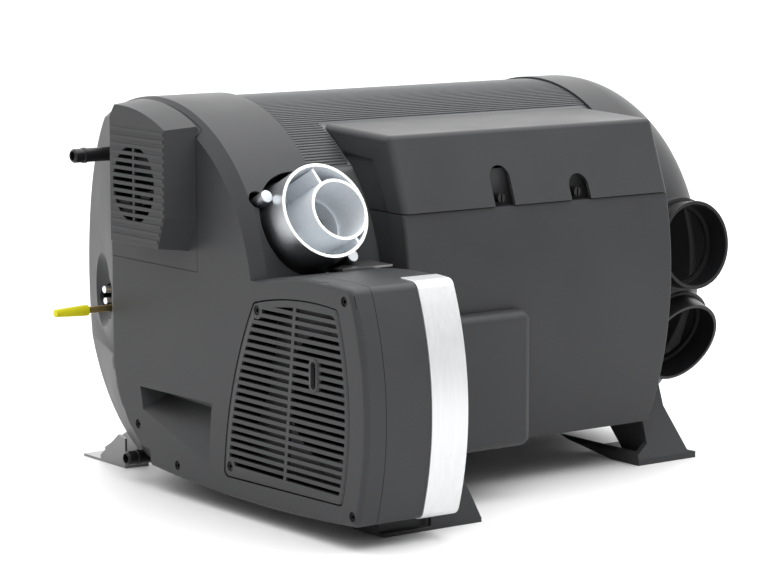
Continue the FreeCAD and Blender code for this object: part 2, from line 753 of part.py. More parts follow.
# Drum
def drum_shell():
    start = math.radians(RIB_START_DEG)
    step = math.radians(RIB_END_DEG - RIB_START_DEG) / (2 * RIB_COUNT)
    points = []
    for i in range(2 * RIB_COUNT + 1):
        r = DRUM_R if i % 2 else DRUM_R - RIB_DEPTH
        a = start + i * step
        points.append((AXIS_Y - r * math.cos(a), AXIS_Z + r * math.sin(a)))
    valley = DRUM_R - RIB_DEPTH
    gap_middle = start + math.radians(RIB_END_DEG - RIB_START_DEG) + math.radians(
        360 - RIB_END_DEG + RIB_START_DEG) / 2
    middle = (AXIS_Y - valley * math.cos(gap_middle), AXIS_Z + valley * math.sin(gap_middle))
    ribs = Part.makePolygon([vec(0, *p) for p in points])
    smooth = arc(points[-1], middle, points[0])
    face = Part.Face(Part.Wire(ribs.Edges + [smooth]))
    front = HOUSING_BACK_X + FIT_GAP
    bore = valley - DRUM_WALL
    tube = along_x(face, front, DRUM_BACK_X)
    spigot = on_axis(RIM_R - WALL - FIT_GAP, front - SPIGOT_LENGTH, front)
    tube = tube.fuse(spigot).cut(on_axis(bore, front - SPIGOT_LENGTH - 1, DRUM_BACK_X + 1))
    return tube.cut(flue_clear() + [air_window()])


def drum_bore():
    return DRUM_R - RIB_DEPTH - DRUM_WALL


# Side panel and service lid
def panel_arc(outset):
    top = (PANEL_TOP_Y - outset, PANEL_TOP_Z)
    belly = (PANEL_BELLY_Y - outset, PANEL_BELLY_Z)
    low = (PANEL_LOW_Y - outset, PANEL_LOW_Z)
    inner_low = (AXIS_Y, PANEL_LOW_Z)
    inner_top = (AXIS_Y, PANEL_TOP_Z)
    edges = [arc(top, belly, low), line(low, inner_low), line(inner_low, inner_top), line(inner_top, top)]
    return Part.Face(Part.Wire(edges))


def panel_seat():
    return on_axis(DRUM_R + FIT_GAP, PANEL_FRONT_X - 10, PANEL_BACK_X + 10)


def field_box(inset):
    back = PANEL_LOW_Y + 6
    return box(PANEL_FRONT_X + inset, FIELD_BACK_X - inset, FIELD_Y + inset, back, FIELD_LOW_Z + inset,
               FIELD_TOP_Z - inset)


def end_step():
    top = (PANEL_TOP_Y + END_BAND, PANEL_TOP_Z + 90)
    belly = (PANEL_BELLY_Y + END_BAND, PANEL_BELLY_Z)
    low = (PANEL_LOW_Y + END_BAND, PANEL_LOW_Z - 10)
    edges = [arc((PANEL_TOP_Y + END_BAND, PANEL_TOP_Z), belly, low), line(low, (AXIS_Y, low[1])),
             line((AXIS_Y, low[1]), (AXIS_Y, top[1])), line((AXIS_Y, top[1]), top),
             line(top, (PANEL_TOP_Y + END_BAND, PANEL_TOP_Z))]
    return along_x(Part.Face(Part.Wire(edges)), PANEL_FRONT_X - 1, PANEL_FRONT_X + END_STEP)


def side_panel():
    outer = along_x(panel_arc(0), PANEL_FRONT_X, PANEL_BACK_X)
    outer = fillet(outer, 2.0, lambda e: abs(e.BoundBox.XLength) < 0.01 and edge_middle(e).y < PANEL_LOW_Y - 5)
    field = field_box(0)
    field = fillet(field, FIELD_EDGE_R, lambda e: edge_middle(e).x > FIELD_BACK_X - 1
                   or (edge_middle(e).y < FIELD_Y + 1 and edge_middle(e).x > PANEL_FRONT_X + 1))
    inner = along_x(panel_arc(0).makeOffset2D(-PANEL_WALL), PANEL_FRONT_X + PANEL_WALL, PANEL_BACK_X - PANEL_WALL)
    upstand = box(NOTCH_X[0] - 20, NOTCH_X[1] + 20, UPSTAND_Y, UPSTAND_Y + UPSTAND_THICK, PANEL_TOP_Z - 1,
                  PANEL_TOP_Z + UPSTAND_HEIGHT)
    body = fuse_all([outer, field]).cut([inner, field_box(PANEL_WALL), end_step()])
    return body.fuse(upstand).cut(panel_seat())


def lid_pegs():
    pegs = []
    for x in NOTCH_X:
        stem = Part.makeCylinder(PEG_R, UPSTAND_Y - PEG_TIP_Y, vec(x, PEG_TIP_Y, PEG_Z), vec(0, 1, 0))
        slit = box(x - 0.6, x + 0.6, PEG_TIP_Y - 1, PEG_TIP_Y + 1.5, PEG_Z - PEG_R, PEG_Z + PEG_R)
        pegs.append(stem.cut(slit))
    return Part.makeCompound(pegs)


def lid_section(inset, low_z):
    edge_slope = (LID_EDGE_Y - LID_LOW_Y) / (LID_EDGE_Z - PANEL_TOP_Z - LID_SEAM)
    low_y = LID_EDGE_Y - edge_slope * (LID_EDGE_Z - low_z)
    drop = inset * (LID_BACK_Z - LID_EDGE_Z) / (LID_BACK_Y - LID_EDGE_Y)
    return section([(AXIS_Y, LID_BACK_Z - inset), (LID_BACK_Y, LID_BACK_Z - inset),
                    (LID_EDGE_Y + inset, LID_EDGE_Z - inset + drop), (low_y + inset * 1.07, low_z), (AXIS_Y, low_z)])


def notch(x, height):
    bottom = PANEL_TOP_Z - 1
    radius = NOTCH_WIDTH / 2
    crown = PANEL_TOP_Z + LID_SEAM + height - radius
    legs = box(x - radius, x + radius, -FAR, UPSTAND_Y, bottom, crown)
    crown_rod = Part.makeCylinder(radius, FAR + UPSTAND_Y, vec(x, -FAR, crown), vec(0, 1, 0))
    return legs.fuse(crown_rod)


def service_lid():
    low_z = PANEL_TOP_Z + LID_SEAM
    outer = along_x(lid_section(0, low_z), PANEL_FRONT_X, PANEL_BACK_X)
    outer = fillet(outer, LID_EDGE_R, lambda e: edge_middle(e).z > low_z + 1 and edge_middle(e).y < LID_BACK_Y - 1
                   and not (runs_along_x(e) and edge_middle(e).y > LID_EDGE_Y + 1))
    inner = along_x(lid_section(LID_WALL, low_z - 20), PANEL_FRONT_X + LID_WALL, PANEL_BACK_X - LID_WALL)
    cuts = [inner, panel_seat(), box(-FAR, FAR, LID_BACK_Y, FAR, 0, FAR)]
    cuts += [notch(x, h) for x, h in zip(NOTCH_X, NOTCH_HEIGHT)]
    step = along_x(lid_section(END_BAND, low_z - 1), PANEL_FRONT_X - 1, PANEL_FRONT_X + END_STEP)
    return outer.cut(cuts + [step])


# Flue
def exhaust_x():
    return FLUE_X + FLUE_R - EXHAUST_R - 0.1


def flue_casting():
    shoulder = FLUE_BASE + FLUE_BASE_THICK
    foot = flue_rod(FLUE_FOOT_R, FLUE_BASE, shoulder)
    cone = Part.makeCone(FLUE_FOOT_R, FLUE_R, 14, flue_line(shoulder), radial(FLUE_ANGLE_DEG))
    barrel = flue_rod(FLUE_R, shoulder, FLUE_MOUTH)
    hollow = flue_rod(FLUE_R - FLUE_WALL, shoulder, FLUE_MOUTH + 1)
    inner = flue_rod(EXHAUST_R, FLUE_BASE, FLUE_MOUTH, exhaust_x())
    bore = flue_rod(EXHAUST_R - FLUE_WALL, FLUE_MOUTH - EXHAUST_SOCKET, FLUE_MOUTH + 1, exhaust_x())
    way = flue_rod(EXHAUST_WAY_R, FLUE_BASE - 1, FLUE_MOUTH, exhaust_x())
    air = flue_rod(AIR_DUCT_R, FLUE_BASE - 1, shoulder + 1, AIR_DUCT_X)
    webs = []
    for degrees in (112, -68):
        web = box(0, FLUE_R - 1, -FLUE_WALL / 2, FLUE_WALL / 2, 0, FLUE_MOUTH - shoulder - 2)
        web.rotate(vec(0, 0, 0), Z_DIR, degrees)
        web.rotate(vec(0, 0, 0), X_DIR, 90 - FLUE_ANGLE_DEG)
        web.translate(flue_line(shoulder, exhaust_x()))
        webs.append(web.common(hollow))
    lugs = flue_screw_rods(LUG_R, FLUE_BASE, shoulder)
    body = fuse_all([foot, cone, barrel]).cut(hollow)
    body = fuse_all([body, inner] + webs + lugs)
    return body.cut([bore, way, air] + flue_screw_rods(FLUE_SCREW_R, FLUE_BASE - 1, shoulder + 1))


def flue_flange(near, far):
    disc = fuse_all([flue_rod(FLUE_FOOT_R, near, far)] + flue_screw_rods(LUG_R, near, far))
    bore = flue_rod(EXHAUST_WAY_R, near - 1, far + 1, exhaust_x())
    air = flue_rod(AIR_DUCT_R, near - 1, far + 1, AIR_DUCT_X)
    return disc.cut([bore, air] + flue_screw_rods(FLUE_SCREW_R, near - 1, far + 1))


def flue_gasket():
    return flue_flange(FLUE_BASE - GASKET_THICK, FLUE_BASE)


def exhaust_duct():
    top = FLUE_BASE - GASKET_THICK
    flange = flue_flange(top - DUCT_FLANGE_THICK, top)
    duct = flue_rod(EXHAUST_R - FLUE_WALL, CORE_R - 8, top, exhaust_x())
    duct = duct.cut(flue_rod(EXHAUST_WAY_R, 0, top + 1, exhaust_x()))
    return flange.fuse(duct).cut(on_axis(CORE_R, FACE_X, CORE_BACK_X))


def combustion_air_duct():
    top = FLUE_BASE - GASKET_THICK - DUCT_FLANGE_THICK
    outer = flue_rod(AIR_DUCT_R + 1.5, CAN_R - 12, top, AIR_DUCT_X)
    duct = outer.cut(flue_rod(AIR_DUCT_R, 0, top + 1, AIR_DUCT_X))
    return duct.cut(on_axis(CAN_R, FACE_X, BULKHEAD_X))


def flue_screws():
    top = FLUE_BASE + FLUE_BASE_THICK
    shanks = flue_screw_rods(FLUE_SCREW_R, FLUE_BASE - GASKET_THICK - DUCT_FLANGE_THICK, top)
    heads = flue_screw_rods(FLUE_SCREW_R + 1.8, top, top + 3)
    return Part.makeCompound([shank.fuse(head) for shank, head in zip(shanks, heads)])


def flue_bracket():
    z0 = BRACKET_PLATE_Z
    plate = box(FLUE_X + 4, FLUE_X + 49, -114, AXIS_Y - 100, z0, z0 + BRACKET_PLATE_THICK)
    plate = plate.cut([on_axis(RIM_R + FIT_GAP, FACE_X, HOUSING_BACK_X + FIT_GAP),
                       on_axis(DRUM_R + FIT_GAP, HOUSING_BACK_X, SNOUT_BACK_X + 60),
                       flue_rod(FLUE_FOOT_R + 1, FLUE_BASE - 40, FLUE_MOUTH + 20)])
    return plate


# Rear cap and outlets
def cap_profile(inset):
    shoulder = CAP_R - inset
    front = DRUM_BACK_X - (1 if inset else 0)
    end = CAP_END_X - inset
    a = vec(front, AXIS_Y, AXIS_Z)
    b = vec(front, AXIS_Y, AXIS_Z + shoulder)
    c = vec(CAP_SHOULDER_X, AXIS_Y, AXIS_Z + shoulder)
    d = vec(CAP_BULGE_X - inset * 0.5, AXIS_Y, AXIS_Z + CAP_BULGE_R - inset * 0.85)
    e = vec(end, AXIS_Y, AXIS_Z + CAP_END_R - inset * 0.5)
    f = vec(end, AXIS_Y, AXIS_Z)
    edges = [Part.makeLine(a, b), Part.makeLine(b, c), Part.Arc(c, d, e).toShape(), Part.makeLine(e, f),
             Part.makeLine(f, a)]
    face = Part.Face(Part.Wire(edges))
    return face.revolve(vec(0, AXIS_Y, AXIS_Z), X_DIR, 360)


OUTLETS = {"warm_air_outlet_front_upper": OUTLET_UPPER_DEG, "warm_air_outlet_front_lower": OUTLET_LOWER_DEG,
           "warm_air_outlet_back_upper": 180 - OUTLET_UPPER_DEG,
           "warm_air_outlet_back_lower": 180 - OUTLET_LOWER_DEG}


def outlet_rod(degrees, radius, near, far):
    hub = vec(OUTLET_X, AXIS_Y, AXIS_Z + OUTLET_HUB_RISE)
    direction = radial(degrees)
    return Part.makeCylinder(radius, far - near, hub + direction * near, direction)


def rear_cap():
    outer = cap_profile(0)
    inner = cap_profile(WALL)
    collar_r = OUTLET_R + FIT_GAP
    behind = box(DRUM_BACK_X, FAR, -FAR, FAR, -FAR, FAR)
    collars = [outlet_rod(d, collar_r + OUTLET_COLLAR, 70, COLLAR_REACH).common(behind) for d in OUTLETS.values()]
    ways = [outlet_rod(d, collar_r, 60, COLLAR_REACH + 30) for d in OUTLETS.values()]
    spigot_r = drum_bore() - FIT_GAP
    spigot = ring_x(spigot_r, spigot_r - WALL, DRUM_BACK_X - CAP_SPIGOT, DRUM_BACK_X + WALL)
    spigot = spigot.fuse(ring_x(CAP_R - WALL / 2, spigot_r - WALL, DRUM_BACK_X, DRUM_BACK_X + WALL))
    return fuse_all([outer] + collars).cut(inner).fuse(spigot).cut(ways)


def warm_air_outlet(degrees):
    body = outlet_rod(degrees, OUTLET_R, OUTLET_START, OUTLET_REACH)
    lip = outlet_rod(degrees, OUTLET_R + 0.6, OUTLET_REACH - 3, OUTLET_REACH)
    bore = outlet_rod(degrees, OUTLET_BORE_R, OUTLET_START + OUTLET_LEDGE, OUTLET_REACH + 1)
    ledge = outlet_rod(degrees, OUTLET_LEDGE_R, OUTLET_START - 1, OUTLET_REACH)
    return body.fuse(lip).cut([bore, ledge])


# Bulkhead, heat exchanger, burner and tank
def front_bulkhead():
    back = BULKHEAD_X + BULKHEAD_THICK
    plate = on_axis(BULKHEAD_R, BULKHEAD_X, back)
    cuts = [on_axis(BURNER_R - BURNER_WALL, BULKHEAD_X - 1, back + 1),
            flue_rod(EXHAUST_R, BURNER_R + 4, FLUE_MOUTH, exhaust_x()),
            rod_x(HOT_Y, HOT_Z, PIPE_BORE_R, BULKHEAD_X - 1, back + 1),
            rod_x(COLD_Y, COLD_Z, PIPE_BORE_R, BULKHEAD_X - 1, back + 1)]
    return plate.cut(cuts + flue_clear())


def heat_exchanger():
    front = BULKHEAD_X + BULKHEAD_THICK
    core = on_axis(CORE_R, front, CORE_BACK_X)
    flange = on_axis(CORE_FLANGE_R, front, front + CORE_FLANGE_THICK)
    fins = []
    for i in range(FIN_COUNT):
        fin = box(FIN_FRONT_X, FIN_BACK_X, AXIS_Y - FIN_THICK / 2, AXIS_Y + FIN_THICK / 2,
                  AXIS_Z + CORE_R - 1, AXIS_Z + FIN_R)
        fin.rotate(vec(0, AXIS_Y, AXIS_Z), X_DIR, i * 360 / FIN_COUNT)
        fins.append(fin)
    body = core.multiFuse([flange] + fins)
    port = flue_rod(EXHAUST_WAY_R, 0, CORE_R + 20, exhaust_x())
    notch_way = flue_rod(EXHAUST_R, CORE_R - 8, CORE_FLANGE_R + 30, exhaust_x()).cut(on_axis(CORE_R, front, 0))
    return body.cut([on_axis(CORE_R - CORE_WALL, front - 1, CORE_BACK_X - CORE_WALL), port, notch_way])


def burner_tube():
    front = BULKHEAD_X + BULKHEAD_THICK
    tube = ring_x(BURNER_R, BURNER_R - BURNER_WALL, front, BURNER_BACK_X)
    seat = ring_x(CORE_R - CORE_WALL - FIT_GAP, BURNER_R - BURNER_WALL, front, front + 4)
    return tube.fuse(seat)


def ignition_electrodes():
    front = BULKHEAD_X + BULKHEAD_THICK + 4
    return Part.makeCompound([rod_x(AXIS_Y + s * 40, AXIS_Z, 3.0, front, front + 36) for s in (-1, 1)])


def water_tank():
    shell = ring_x(TANK_R, TANK_BORE_R, TANK_FRONT_X, TANK_BACK_X)
    room = ring_x(TANK_R - TANK_WALL, TANK_BORE_R + TANK_WALL, TANK_FRONT_X + TANK_WALL, TANK_BACK_X - TANK_WALL)
    ports = [rod_x(HOT_Y, HOT_Z, PIPE_BORE_R, TANK_FRONT_X - 1, TANK_FRONT_X + 5),
             rod_x(COLD_Y, COLD_PORT_Z, PIPE_BORE_R, TANK_FRONT_X - 1, TANK_FRONT_X + 5)]
    return shell.cut([room] + ports)


def tank_supports():
    blocks = []
    for x in (TANK_FRONT_X + 6, TANK_BACK_X - 6 - SUPPORT_LENGTH):
        for degrees in (90, 210, 330):
            block = box(x, x + SUPPORT_LENGTH, AXIS_Y - SUPPORT_WIDTH / 2, AXIS_Y + SUPPORT_WIDTH / 2,
                        AXIS_Z + TANK_R - 10, AXIS_Z + DRUM_R)
            block.rotate(vec(0, AXIS_Y, AXIS_Z), X_DIR, degrees)
            blocks.append(block.common(ring_x(drum_bore() - FIT_GAP / 3, TANK_R, x, x + SUPPORT_LENGTH)))
    return Part.makeCompound(blocks)


def rear_spider():
    back = SPIDER_X + SPIDER_THICK
    hub = on_axis(SPIDER_HUB_R, SPIDER_X, back)
    arms = []
    for degrees in (30, 150, 270):
        arm = box(SPIDER_X, back, AXIS_Y - SPIDER_ARM_WIDTH / 2, AXIS_Y + SPIDER_ARM_WIDTH / 2, AXIS_Z,
                  AXIS_Z + DRUM_R)
        arm.rotate(vec(0, AXIS_Y, AXIS_Z), X_DIR, degrees)
        arms.append(arm)
    plate = fuse_all([hub] + arms).common(on_axis(drum_bore() - FIT_GAP, SPIDER_X, back))
    return plate.cut(on_axis(CORE_R + FIT_GAP, SPIDER_X - 1, back + 1))


# Combustion fan
def combustion_fan_housing():
    can = on_axis(CAN_R, CAN_FRONT_X, BULKHEAD_X)
    room = on_axis(CAN_R - CAN_WALL, CAN_FRONT_X + CAN_WALL, BULKHEAD_X + 1)
    way_in = flue_rod(AIR_DUCT_R, 10, CAN_R + 10, AIR_DUCT_X)
    return can.cut([room, way_in, on_axis(BURNER_SHAFT_R + 1, CAN_FRONT_X - 1, BULKHEAD_X)])


def combustion_impeller():
    front = CAN_FRONT_X + CAN_WALL + 2.5
    plate = on_axis(BURNER_FAN_R, front, front + 2)
    hub = on_axis(8, front, front + BURNER_FAN_WIDTH)
    blades = []
    for i in range(BURNER_FAN_BLADES):
        blade = box(front, front + BURNER_FAN_WIDTH, AXIS_Y - 1, AXIS_Y + 1, AXIS_Z + 7, AXIS_Z + BURNER_FAN_R - 1)
        blade.rotate(vec(0, AXIS_Y, AXIS_Z), X_DIR, i * 360 / BURNER_FAN_BLADES)
        blades.append(blade)
    return plate.multiFuse([hub] + blades).cut(on_axis(BURNER_SHAFT_R, front - 1, front + BURNER_FAN_WIDTH + 1))


def combustion_shaft():
    return on_axis(BURNER_SHAFT_R, CAN_FRONT_X - BURNER_MOTOR_LENGTH + 3,
                   CAN_FRONT_X + CAN_WALL + 2.5 + BURNER_FAN_WIDTH)


def combustion_motor():
    front = CAN_FRONT_X - BURNER_MOTOR_LENGTH
    body = on_axis(BURNER_MOTOR_R, front, CAN_FRONT_X)
    return body.cut(on_axis(BURNER_SHAFT_R + SHAFT_GAP, front + 2, CAN_FRONT_X + 1))


# Water and gas
def water_stub(y, z, tip):
    ring = rod_x(y, z, PIPE_R + 0.6, tip + 9, tip + 12)
    neck = rod_x(y, z, PIPE_R, tip + 1.5, BULKHEAD_X)
    nose = Part.makeCone(PIPE_R - 1.2, PIPE_R, 1.5, vec(tip, y, z), X_DIR)
    return fuse_all([nose, neck, ring]).cut(rod_x(y, z, PIPE_BORE_R, tip - 1, BULKHEAD_X + 1))


def hot_feed_pipe():
    start = BULKHEAD_X + BULKHEAD_THICK
    return rod_x(HOT_Y, HOT_Z, PIPE_R, start, TANK_FRONT_X).cut(
        rod_x(HOT_Y, HOT_Z, PIPE_BORE_R, start - 1, TANK_FRONT_X + 1))


def cold_feed_pipe():
    start = vec(BULKHEAD_X + BULKHEAD_THICK, COLD_Y, COLD_Z)
    end = vec(TANK_FRONT_X, COLD_Y, COLD_PORT_Z)
    run = end - start
    reach = run.Length + 20
    run.normalize()
    pipe = Part.makeCylinder(PIPE_R, reach, start - run * 10, run)
    bore = Part.makeCylinder(PIPE_BORE_R, reach, start - run * 10, run)
    return pipe.cut(bore).common(box(start.x, end.x, -FAR, FAR, -FAR, FAR))


def gas_inlet_pipe():
    return rod_x(GAS_Y, GAS_Z, GAS_PIPE_R, GAS_PIPE_TIP_X, VALVE_FRONT_X - NUT_LENGTH)


def gas_nut():
    corners = []
    for i in range(6):
        a = math.radians(60 * i)
        corners.append((GAS_Y + NUT_R * math.cos(a), GAS_Z + NUT_R * math.sin(a)))
    return along_x(section(corners), VALVE_FRONT_X - NUT_LENGTH, VALVE_FRONT_X)


def gas_cap():
    mouth = rod_x(GAS_Y, GAS_Z, GAS_CAP_R, GAS_CAP_MOUTH_X - 6, GAS_CAP_MOUTH_X)
    length = GAS_CAP_MOUTH_X - 6 - GAS_CAP_TIP_X
    taper = Part.makeCone(GAS_CAP_R - 1.2, GAS_CAP_R, length, vec(GAS_CAP_TIP_X, GAS_Y, GAS_Z), X_DIR)
    bore = rod_x(GAS_Y, GAS_Z, GAS_PIPE_R + FIT_GAP, GAS_PIPE_TIP_X - FIT_GAP, GAS_CAP_MOUTH_X + 1)
    return taper.fuse(mouth).cut(bore)


def gas_valve():
    block = box(VALVE_FRONT_X, BULKHEAD_X, GAS_Y - VALVE_HALF_Y, GAS_Y + VALVE_HALF_Y, VALVE_LOW_Z, VALVE_TOP_Z)
    return fillet(block, 3.0, runs_along_x)


def gas_valve_coils():
    x = (VALVE_FRONT_X + BULKHEAD_X) / 2
    coils = []
    for y in (GAS_Y - VALVE_HALF_Y / 2, GAS_Y + VALVE_HALF_Y / 2):
        coils.append(Part.makeCylinder(COIL_R, COIL_HEIGHT, vec(x, y, VALVE_TOP_Z)))
    return Part.makeCompound(coils)


def burner_gas_line():
    x = (VALVE_FRONT_X + BULKHEAD_X) / 2
    end = GAS_Y - VALVE_HALF_Y
    pipe = Part.makeCylinder(GAS_PIPE_R, end - AXIS_Y, vec(x, AXIS_Y, GAS_Z), vec(0, 1, 0))
    return pipe.cut(on_axis(CAN_R, FACE_X, BULKHEAD_X))


def overheat_switch():
    x = CORE_BACK_X
    return on_axis(12, x, x + 8).fuse(on_axis(5, x + 8, x + 14))


def water_sensor():
    return Part.makeCylinder(5, 12, vec(20, AXIS_Y, AXIS_Z + TANK_R), Z_DIR).cut(on_axis(TANK_R, 0, 60))


# Feet
def left_bracket():
    base = box(BRACKET_FRONT_X, BRACKET_BACK_X, BRACKET_IN_Y, BRACKET_OUT_Y, 0, BRACKET_THICK)
    seat_y = BRACKET_IN_Y
    seat_z = AXIS_Z - math.sqrt(RIM_R ** 2 - (seat_y - AXIS_Y) ** 2)
    bend_y = BRACKET_OUT_Y - 26
    strut = along_x(section([(bend_y - 3, 0), (bend_y, 0), (seat_y + 4, seat_z + 8), (seat_y - 6, seat_z + 8)]),
                    BRACKET_FRONT_X, BRACKET_BACK_X)
    gusset = section([(bend_y - 24, 0), (BRACKET_OUT_Y, 0), (BRACKET_OUT_Y, 5), (bend_y, 5), (seat_y + 4, seat_z + 8),
                      (seat_y - 6, seat_z)])
    gussets = [along_x(gusset, x, x + BRACKET_THICK) for x in (BRACKET_FRONT_X, BRACKET_BACK_X - BRACKET_THICK)]
    body = fuse_all([base, strut] + gussets)
    hole_x = (BRACKET_FRONT_X + BRACKET_BACK_X) / 2
    hole = Part.makeCylinder(FOOT_HOLE_R, 10, vec(hole_x, BRACKET_OUT_Y - 14, -1))
    return body.cut([hole, on_axis(RIM_R + FIT_GAP / 3, FACE_X, HOUSING_BACK_X)])


def front_foot():
    out_y = FRONT_FOOT_OUT_Y
    in_y = FRONT_FOOT_IN_Y
    front = BAND_FRONT_X - 10
    base = box(front, FRONT_FOOT_X, out_y, in_y, 0, FRONT_FOOT_THICK)
    gusset = along_y([(SNOUT_BACK_X, 0), (FRONT_FOOT_X, 0), (FRONT_FOOT_X, FRONT_FOOT_THICK),
                      (SNOUT_BACK_X, FRONT_FOOT_GUSSET_Z)], out_y, out_y + FRONT_FOOT_THICK)
    pad = box(front, SNOUT_BACK_X, out_y + 6, in_y - 4, 0, SNOUT_LOW_Z + 8)
    pad = pad.cut(snout(0, SNOUT_SPLIT_X, SNOUT_BACK_X + 1)).cut(band_zone(BAND_PROUD + FIT_GAP / 3, 0))
    hole = Part.makeCylinder(FOOT_HOLE_R, 10, vec(FRONT_FOOT_HOLE_X, FRONT_FOOT_HOLE_Y, -1))
    return fuse_all([base, gusset, pad]).cut(hole)


def rear_foot():
    out_y = REAR_FOOT_OUT_Y
    side = section([(out_y, 0), (out_y, REAR_FOOT_THICK), (-62, 78), (-40, 78), (20, 12), (REAR_FOOT_IN_Y, 0)])
    block = along_x(side, REAR_FOOT_FRONT_X, REAR_FOOT_BACK_X)
    front_view = along_y([(REAR_FOOT_FRONT_X, 0), (REAR_FOOT_BACK_X, 0), (REAR_FOOT_BACK_X, REAR_FOOT_THICK),
                          (REAR_FOOT_BACK_X - 8, REAR_FOOT_THICK + 2), (196, 42), (200, 90), (176, 90),
                          (168, 16), (REAR_FOOT_FRONT_X, 8)], -FAR, FAR)
    block = block.common(front_view)
    room = section([(out_y + 5, REAR_FOOT_THICK), (-58, 72), (40, 72), (40, REAR_FOOT_THICK)])
    hollow = along_x(room, REAR_FOOT_FRONT_X + 4, REAR_FOOT_BACK_X + 1)
    base = box(REAR_FOOT_FRONT_X, REAR_FOOT_BACK_X, out_y, REAR_FOOT_IN_Y, 0, REAR_FOOT_THICK)
    hole = Part.makeCylinder(FOOT_HOLE_R, 20, vec(REAR_FOOT_HOLE_X, REAR_FOOT_HOLE_Y, -1))
    body = block.cut(hollow).fuse(base)
    collar = outlet_rod(OUTLET_LOWER_DEG, OUTLET_R + FIT_GAP + OUTLET_COLLAR + FIT_GAP, 70, OUTLET_REACH + 20)
    return body.cut([on_axis(CAP_R + FIT_GAP / 3, DRUM_BACK_X - 40, CAP_END_X), collar, hole])


def mirrored(shape):
    return shape.mirror(vec(0, AXIS_Y, 0), vec(0, 1, 0))


pieces = {
    "drum_shell": drum_shell(),
    "front_housing": front_housing(),
    "electronics_cover": electronics_cover(),
    "board_tray": board_tray(),
    "control_board": control_board(),
    "board_components": board_components(),
    "intake_grille": intake_grille(),
    "grille_screws": screw_heads(GRILLE_SCREWS, 2.0),
    "bezel_screws": screw_heads(BEZEL_SCREWS, 6.0),
    "housing_screws": screw_heads(FACE_SCREWS, 6.0),
    "blower_housing": blower_housing(),
    "trim_band": trim_band(),
    "inlet_plate": inlet_plate(),
    "fan_wheel": fan_wheel(),
    "fan_shaft": fan_shaft(),
    "fan_motor": fan_motor(),
    "side_panel": side_panel(),
    "lid_pegs": lid_pegs(),
    "service_lid": service_lid(),
    "flue_casting": flue_casting(),
    "flue_gasket": flue_gasket(),
    "flue_screws": flue_screws(),
    "flue_bracket": flue_bracket(),
    "exhaust_duct": exhaust_duct(),
    "combustion_air_duct": combustion_air_duct(),
    "rear_cap": rear_cap(),
    "front_bulkhead": front_bulkhead(),
    "heat_exchanger": heat_exchanger(),
    "burner_tube": burner_tube(),
    "ignition_electrodes": ignition_electrodes(),
    "water_tank": water_tank(),
    "tank_supports": tank_supports(),
    "rear_spider": rear_spider(),
    "combustion_fan_housing": combustion_fan_housing(),
    "combustion_impeller": combustion_impeller(),
    "combustion_shaft": combustion_shaft(),
    "combustion_motor": combustion_motor(),
    "hot_water_fitting": water_stub(HOT_Y, HOT_Z, HOT_TIP_X),
    "cold_water_fitting": water_stub(COLD_Y, COLD_Z, COLD_TIP_X),
    "hot_feed_pipe": hot_feed_pipe(),
    "cold_feed_pipe": cold_feed_pipe(),
    "gas_inlet_pipe": gas_inlet_pipe(),
    "gas_nut": gas_nut(),
    "gas_cap": gas_cap(),
    "gas_valve": gas_valve(),
    "gas_valve_coils": gas_valve_coils(),
    "burner_gas_line": burner_gas_line(),
    "overheat_switch": overheat_switch(),
    "water_sensor": water_sensor(),
    "left_bracket": left_bracket(),
    "front_foot": front_foot(),
    "rear_foot_front": rear_foot(),
    "rear_foot_back": mirrored(rear_foot()),
}
for name, degrees in OUTLETS.items():
    pieces[name] = warm_air_outlet(degrees)

os.makedirs("parts", exist_ok=True)
for name, shape in pieces.items():
    shape.exportStep("parts/" + name + ".step")
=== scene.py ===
import json
import math

import bmesh
import bpy
from mathutils import Matrix, Vector


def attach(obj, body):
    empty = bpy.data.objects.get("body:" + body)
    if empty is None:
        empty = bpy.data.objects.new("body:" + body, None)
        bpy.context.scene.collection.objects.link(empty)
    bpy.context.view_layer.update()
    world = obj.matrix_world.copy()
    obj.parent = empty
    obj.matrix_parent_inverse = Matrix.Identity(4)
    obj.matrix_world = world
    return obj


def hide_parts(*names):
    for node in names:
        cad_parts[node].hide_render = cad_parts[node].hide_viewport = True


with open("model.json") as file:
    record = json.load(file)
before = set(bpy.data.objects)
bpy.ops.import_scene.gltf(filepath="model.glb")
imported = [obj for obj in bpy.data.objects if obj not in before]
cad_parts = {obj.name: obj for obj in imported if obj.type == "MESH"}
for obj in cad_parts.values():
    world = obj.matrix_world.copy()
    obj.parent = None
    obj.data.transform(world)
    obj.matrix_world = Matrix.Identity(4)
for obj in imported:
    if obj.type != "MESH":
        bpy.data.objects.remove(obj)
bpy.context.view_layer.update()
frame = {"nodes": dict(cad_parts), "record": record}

# Lengths with * MM are in metres; plain ones, such as outlines, are in mm
MM = 0.001
AXIS = Vector((0.0, 58.0, 152.5)) * MM
FLUE_LIFT = math.radians(25.5)
FLUE_DIRECTION = Vector((0.0, -math.cos(FLUE_LIFT), math.sin(FLUE_LIFT)))
FLUE_MOUTH = 173.4 * MM
FLUE_X = -151.9 * MM
WELD = 0.002 * MM
SHARP_DEG = 32.0
FLAT_DEG = 0.15
NORMAL_WEIGHT = 80
BODY_OF = {n: b for b, nodes in frame["record"]["behaviour"]["bodies"].items() for n in nodes}
SLOT_OF = {s["node"]: s["material_slot"] for s in frame["record"]["subparts"]}


# Finishes: noise from LOW_NOISE to HIGH_NOISE spreads colour and roughness over a range.
# A SHADE is the darkest and the lightest share of a colour.
LOW_NOISE = 0.3
HIGH_NOISE = 0.7
CLOUD_SCALE = 14.0
MOULD_GRAIN_MM = 0.12
MOULD_SHADE = (0.92, 1.08)
MOULD_SPREAD = 0.05
METAL_SHADE = (0.96, 1.03)
METAL_SMOOTHER = 0.03
METAL_ROUGHER = 0.04


